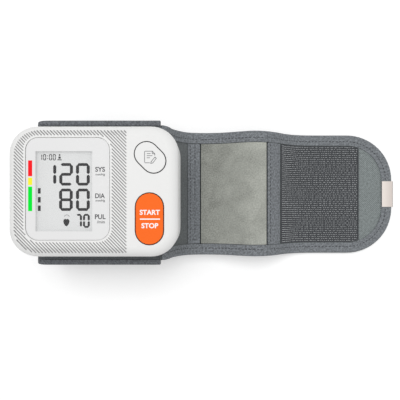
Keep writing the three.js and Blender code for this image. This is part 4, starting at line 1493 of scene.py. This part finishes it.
    def add_panels(self, chosen, tape):
        # The loop velour is given painted shade: darker at its end near the monitor and lighter towards the
        # strap's tip.
        velour = cloth_material(
            "loop_velour", "brushed_nap", chosen.velour, dark=0.5, light=1.5, sheen=0.15, bump=0.8,
            depth=0.3 * MM, Fibre=13.0, Middle=sum(LOOP_PANEL) / 2 / CLOTH_UNIT, Lean=0.09,
        )
        base = cloth_material("hook_cloth", "plain_weave", chosen.hook, Pitch=0.113, Wear=0.6, bump=0.8)
        panels = {
            "seam_tape": (SEAM_TAPE, tape, "strap_root_web", "binding_tape"),
            "loop_panel": (LOOP_PANEL, velour, "strap_mid_web", "loop_velour"),
            "fold_tape": (FOLD_TAPE, tape, "strap_end_web", "binding_tape"),
            "hook_panel": (HOOK_PANEL, base, "strap_end_web", "hook_tape"),
        }
        for node, ((start, end), material, under, slot) in panels.items():
            bm, area = self.panel(start, end)
            piece = new_piece(f"{node}_cloth", bm, material, body_of(node), [node])

    def add_hooks(self, chosen):
        """Rows of small bent hooks on the hook panel."""
        pitch = chosen.hook_pitch
        start, end = HOOK_PANEL[0] + pitch, HOOK_PANEL[1] - pitch * 1.5
        half = STRAP_HALF - TAPE_WIDTH - GAP - pitch * 0.9
        hook = bmesh.new()
        bmesh.ops.create_circle(hook, cap_ends=False, segments=4, radius=0.15 * MM)
        rim = hook.edges[:]
        steps = ((0.35, 0.0, 0.0), (0.2, 0.12, 40.0), (0.02, 0.24, 50.0), (-0.14, 0.14, 40.0))
        for rise, lean, turn in steps:
            made = bmesh.ops.extrude_edge_only(hook, edges=rim)
            rim = [item for item in made["geom"] if isinstance(item, bmesh.types.BMEdge)]
            verts = verts_of(made)
            bmesh.ops.translate(hook, verts=verts, vec=(lean * MM, 0, rise * MM))
            middle = sum((v.co for v in verts), Vector()) / len(verts)
            turned = Matrix.Rotation(math.radians(turn), 3, "Y")
            bmesh.ops.rotate(hook, verts=verts, cent=middle, matrix=turned)
        bmesh.ops.holes_fill(hook, edges=rim)
        shape = bpy.data.meshes.new("hook")
        hook.to_mesh(shape)
        hook.free()
        across_count = int(half * 2 / pitch)
        along_count = int((end - start) / pitch)
        bm = bmesh.new()
        lean = random.Random(5)
        for row in range(across_count + 1):
            y = -half + half * 2 * row / across_count
            for column in range(along_count + 1):
                x = start + (end - start) * column / along_count
                if abs(y) > self.hook_limit(x):
                    continue
                count = len(bm.verts)
                bm.from_mesh(shape)
                bm.verts.ensure_lookup_table()
                flip = lean.choice((-1, 1))
                for vert in bm.verts[count:]:
                    vert.co = (x + vert.co.x * flip, y + vert.co.y, PANEL_HEIGHT[1] - 0.05 * MM + vert.co.z)
        bpy.data.meshes.remove(shape)
        nylon = moulded_material("hook_nylon", chosen.hook_tip, 0.35, tone=0.2)
        bent(bm, STRAP)
        new_piece("hook_rows", bm, nylon, "strap_outer", weighted=False, angle=80)

    def hook_limit(self, x):
        """How far across the hooks reach at a station, inside the tip's curve."""
        inset = TAPE_WIDTH + GAP + 0.6 * MM
        past = max(x - TIP_BEND, 0)
        radius = TIP_CORNER - inset
        return TIP_FLAT + math.sqrt(max(radius ** 2 - past ** 2, 0))

    def add_clip(self):
        """The folded metal clip over the tip's binding."""
        low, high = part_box("end_clip")
        bm = copied("end_clip")
        bends = [e for e in sharp_edges(bm, 60) if all(v.co.x > high.x - 0.05 * MM for v in e.verts)]
        folds = [e for e in bends if abs(e.verts[0].co.y - e.verts[1].co.y) > (high.y - low.y) / 2]
        rounded(bm, folds, 1.15 * MM, 6)
        rounded(bm, sharp_edges(bm, 60), 0.1 * MM, 2)
        metal = self.clip_material(low.x, high.x)
        new_piece("end_clip_metal", bm, metal, "strap_outer", ["end_clip"])

    def clip_material(self, start, end):
        """Pale lacquered metal with painted shade: darker towards its outer end and darkest on its outer
        fold, which turns away from the light.
        """
        material, tree, shader = new_material("clip_enamel")
        place, parts = object_place(tree)
        along = parts[0]
        share = maths(tree, "DIVIDE", maths(tree, "SUBTRACT", along, start), end - start)
        # Painted shade: the face grows darker towards the clip's outer end.
        face = blended(tree, share, opaque(tint(0xF6ECE5)), opaque(tint(0xD9CEC7)))
        # Painted shade: the last 0.75 mm at the outer fold is painted dark brown-grey, where the fold turns
        # away from the light.
        fold_start, fade = end - 0.75 * MM, 0.45 * MM
        fold_shade = maths(tree, "DIVIDE", maths(tree, "SUBTRACT", along, fold_start), fade)
        held = maths(tree, "MINIMUM", maths(tree, "MAXIMUM", fold_shade, 0.0), 1.0)
        flow = add_group(tree, "moulded_surface", {"Vector": place, "Grain": 700.0, "Spread": 0.12})
        lacquer_and_painted_shade = blended(tree, held, face, opaque(tint(0x857B75)))
        rough = maths(tree, "ADD", flow.outputs["Roughness"], 0.32)
        feed(tree, shader, {"Base Color": lacquer_and_painted_shade, "Roughness": rough, "Metallic": 0.25, "Coat Weight": 0.3})
        add_bump(tree, shader, flow.outputs["Height"], 0.08, 0.03 * MM)
        return material


class MONITOR_OT_stitches(bpy.types.Operator):
    """Sew the rows of stitches along the tapes, the bindings and the panels"""

    bl_idname = "monitor.stitches"
    bl_label = "Stitches"

    def execute(self, context):
        chosen = settings("strap")
        self.pitch = chosen.stitch_pitch
        self.long = chosen.stitch
        thread = moulded_material("thread", chosen.thread, 0.8, tone=0.1)
        face = TAPE_HALF + 0.02 * MM
        on_panel = PANEL_HEIGHT[1] + 0.02 * MM
        across = STRAP_HALF - TAPE_WIDTH - 0.8 * MM
        row = TAPE_WIDTH * 0.62
        root = edge_path(row, BINDING_START + 1 * MM, LIFT_SEAM - SEAM_GAP)
        root_across = [self.across(SEAM_TAPE[0] + s, across) for s in (1.8 * MM, 4.9 * MM)]
        self.sew("root_stitches", [(root, face), (root_across, on_panel)], thread, "monitor")
        middle = edge_path(row, LIFT_SEAM + SEAM_GAP, FOLD_SEAM - SEAM_GAP)
        self.sew("middle_stitches", [(middle, face)], thread, "strap_middle")
        outer = edge_path(row, FOLD_SEAM + SEAM_GAP)
        fold = [self.across(FOLD_TAPE[0] + 1.9 * MM, across)]
        self.sew("outer_stitches", [(outer, face), (fold, on_panel)], thread, "strap_outer")
        end = [self.across(HOOK_PANEL[1] - 0.7 * MM, across - 1.2 * MM)]
        self.sew("hook_stitches", [(end, on_panel + 0.1 * MM)], thread, "strap_outer")
        self.sew_cuff(thread)
        return {"FINISHED"}

    def across(self, station, half):
        return [Vector((station, half)), Vector((station, -half))]

    def add_stitches(self, bm, path, height, radius=0.2 * MM):
        """Short rounded stitches at an even pitch along a path."""
        spots = Line(path)
        lying = Matrix.Rotation(math.pi / 2, 4, "Y")
        count = max(1, int(spots.length / self.pitch))
        for i in range(count):
            x, y = spots.at(self.pitch * (i + 0.5), 0)
            ahead = Vector(spots.at(self.pitch * (i + 0.5) + 0.1 * MM, 0)) - Vector((x, y))
            turn = Matrix.Rotation(math.atan2(ahead.y, ahead.x), 4, "Z")
            shape = Matrix.Diagonal((self.long / 2, radius, radius, 1))
            place = Matrix.Translation((x, y, height)) @ turn @ shape @ lying
            bmesh.ops.create_uvsphere(bm, u_segments=6, v_segments=6, radius=1, matrix=place)

    def sew(self, name, rows, material, body, line=None):
        bm = bmesh.new()
        for paths, height in rows:
            for path in paths:
                self.add_stitches(bm, path, height)
        bent(bm, line or STRAP)
        new_piece(name, bm, material, body, weighted=False, angle=80)

    def sew_cuff(self, thread):
        row = CUFF_HALF - EDGE_TAPE + 0.7 * MM
        start, end = 1.5 * MM, CUFF.length - 1 * MM
        paths = [[Vector((start, side * row)), Vector((end, side * row))] for side in (1, -1)]
        outside = 0.13 * MM
        inside = LINING_DEPTH[1] + 0.02 * MM
        self.sew("cuff_stitches", [(paths, outside), (paths, inside)], thread, "monitor", CUFF)


PIECE_OPERATORS = (
    MONITOR_OT_stage,
    MONITOR_OT_casing,
    MONITOR_OT_window,
    MONITOR_OT_buttons,
    MONITOR_OT_inner_parts,
    MONITOR_OT_cuff,
    MONITOR_OT_strap,
    MONITOR_OT_stitches,
)
SETTINGS = {
    "stage": StageSettings,
    "casing": CasingSettings,
    "display": DisplaySettings,
    "cuff": CuffSettings,
    "strap": StrapSettings,
}


class MONITOR_PT_pieces(bpy.types.Panel):
    """The monitor's sizes, colours and pieces in the sidebar"""

    bl_idname = "MONITOR_PT_pieces"
    bl_label = "Wrist Monitor"
    bl_space_type = "VIEW_3D"
    bl_region_type = "UI"
    bl_category = "Monitor"

    def draw(self, context):
        for name, kind in SETTINGS.items():
            box = self.layout.box()
            box.label(text=kind.__doc__)
            for field in kind.__annotations__:
                box.prop(settings(name), field)
        for operator in PIECE_OPERATORS:
            self.layout.operator(operator.bl_idname)


def register():
    for kind in (*SETTINGS.values(), *PIECE_OPERATORS, MONITOR_PT_pieces):
        bpy.utils.register_class(kind)
    for name, kind in SETTINGS.items():
        setattr(bpy.types.Scene, "monitor_" + name, PointerProperty(type=kind))


def unregister():
    for name in SETTINGS:
        delattr(bpy.types.Scene, "monitor_" + name)
    for kind in (MONITOR_PT_pieces, *PIECE_OPERATORS, *SETTINGS.values()):
        bpy.utils.unregister_class(kind)


def main():
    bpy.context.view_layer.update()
    register()
    bpy.ops.monitor.stage()
    bpy.ops.monitor.casing()
    bpy.ops.monitor.window()
    bpy.ops.monitor.buttons()
    bpy.ops.monitor.inner_parts()
    bpy.ops.monitor.cuff()
    bpy.ops.monitor.strap()
    bpy.ops.monitor.stitches()


if __name__ == "__main__":
    main()
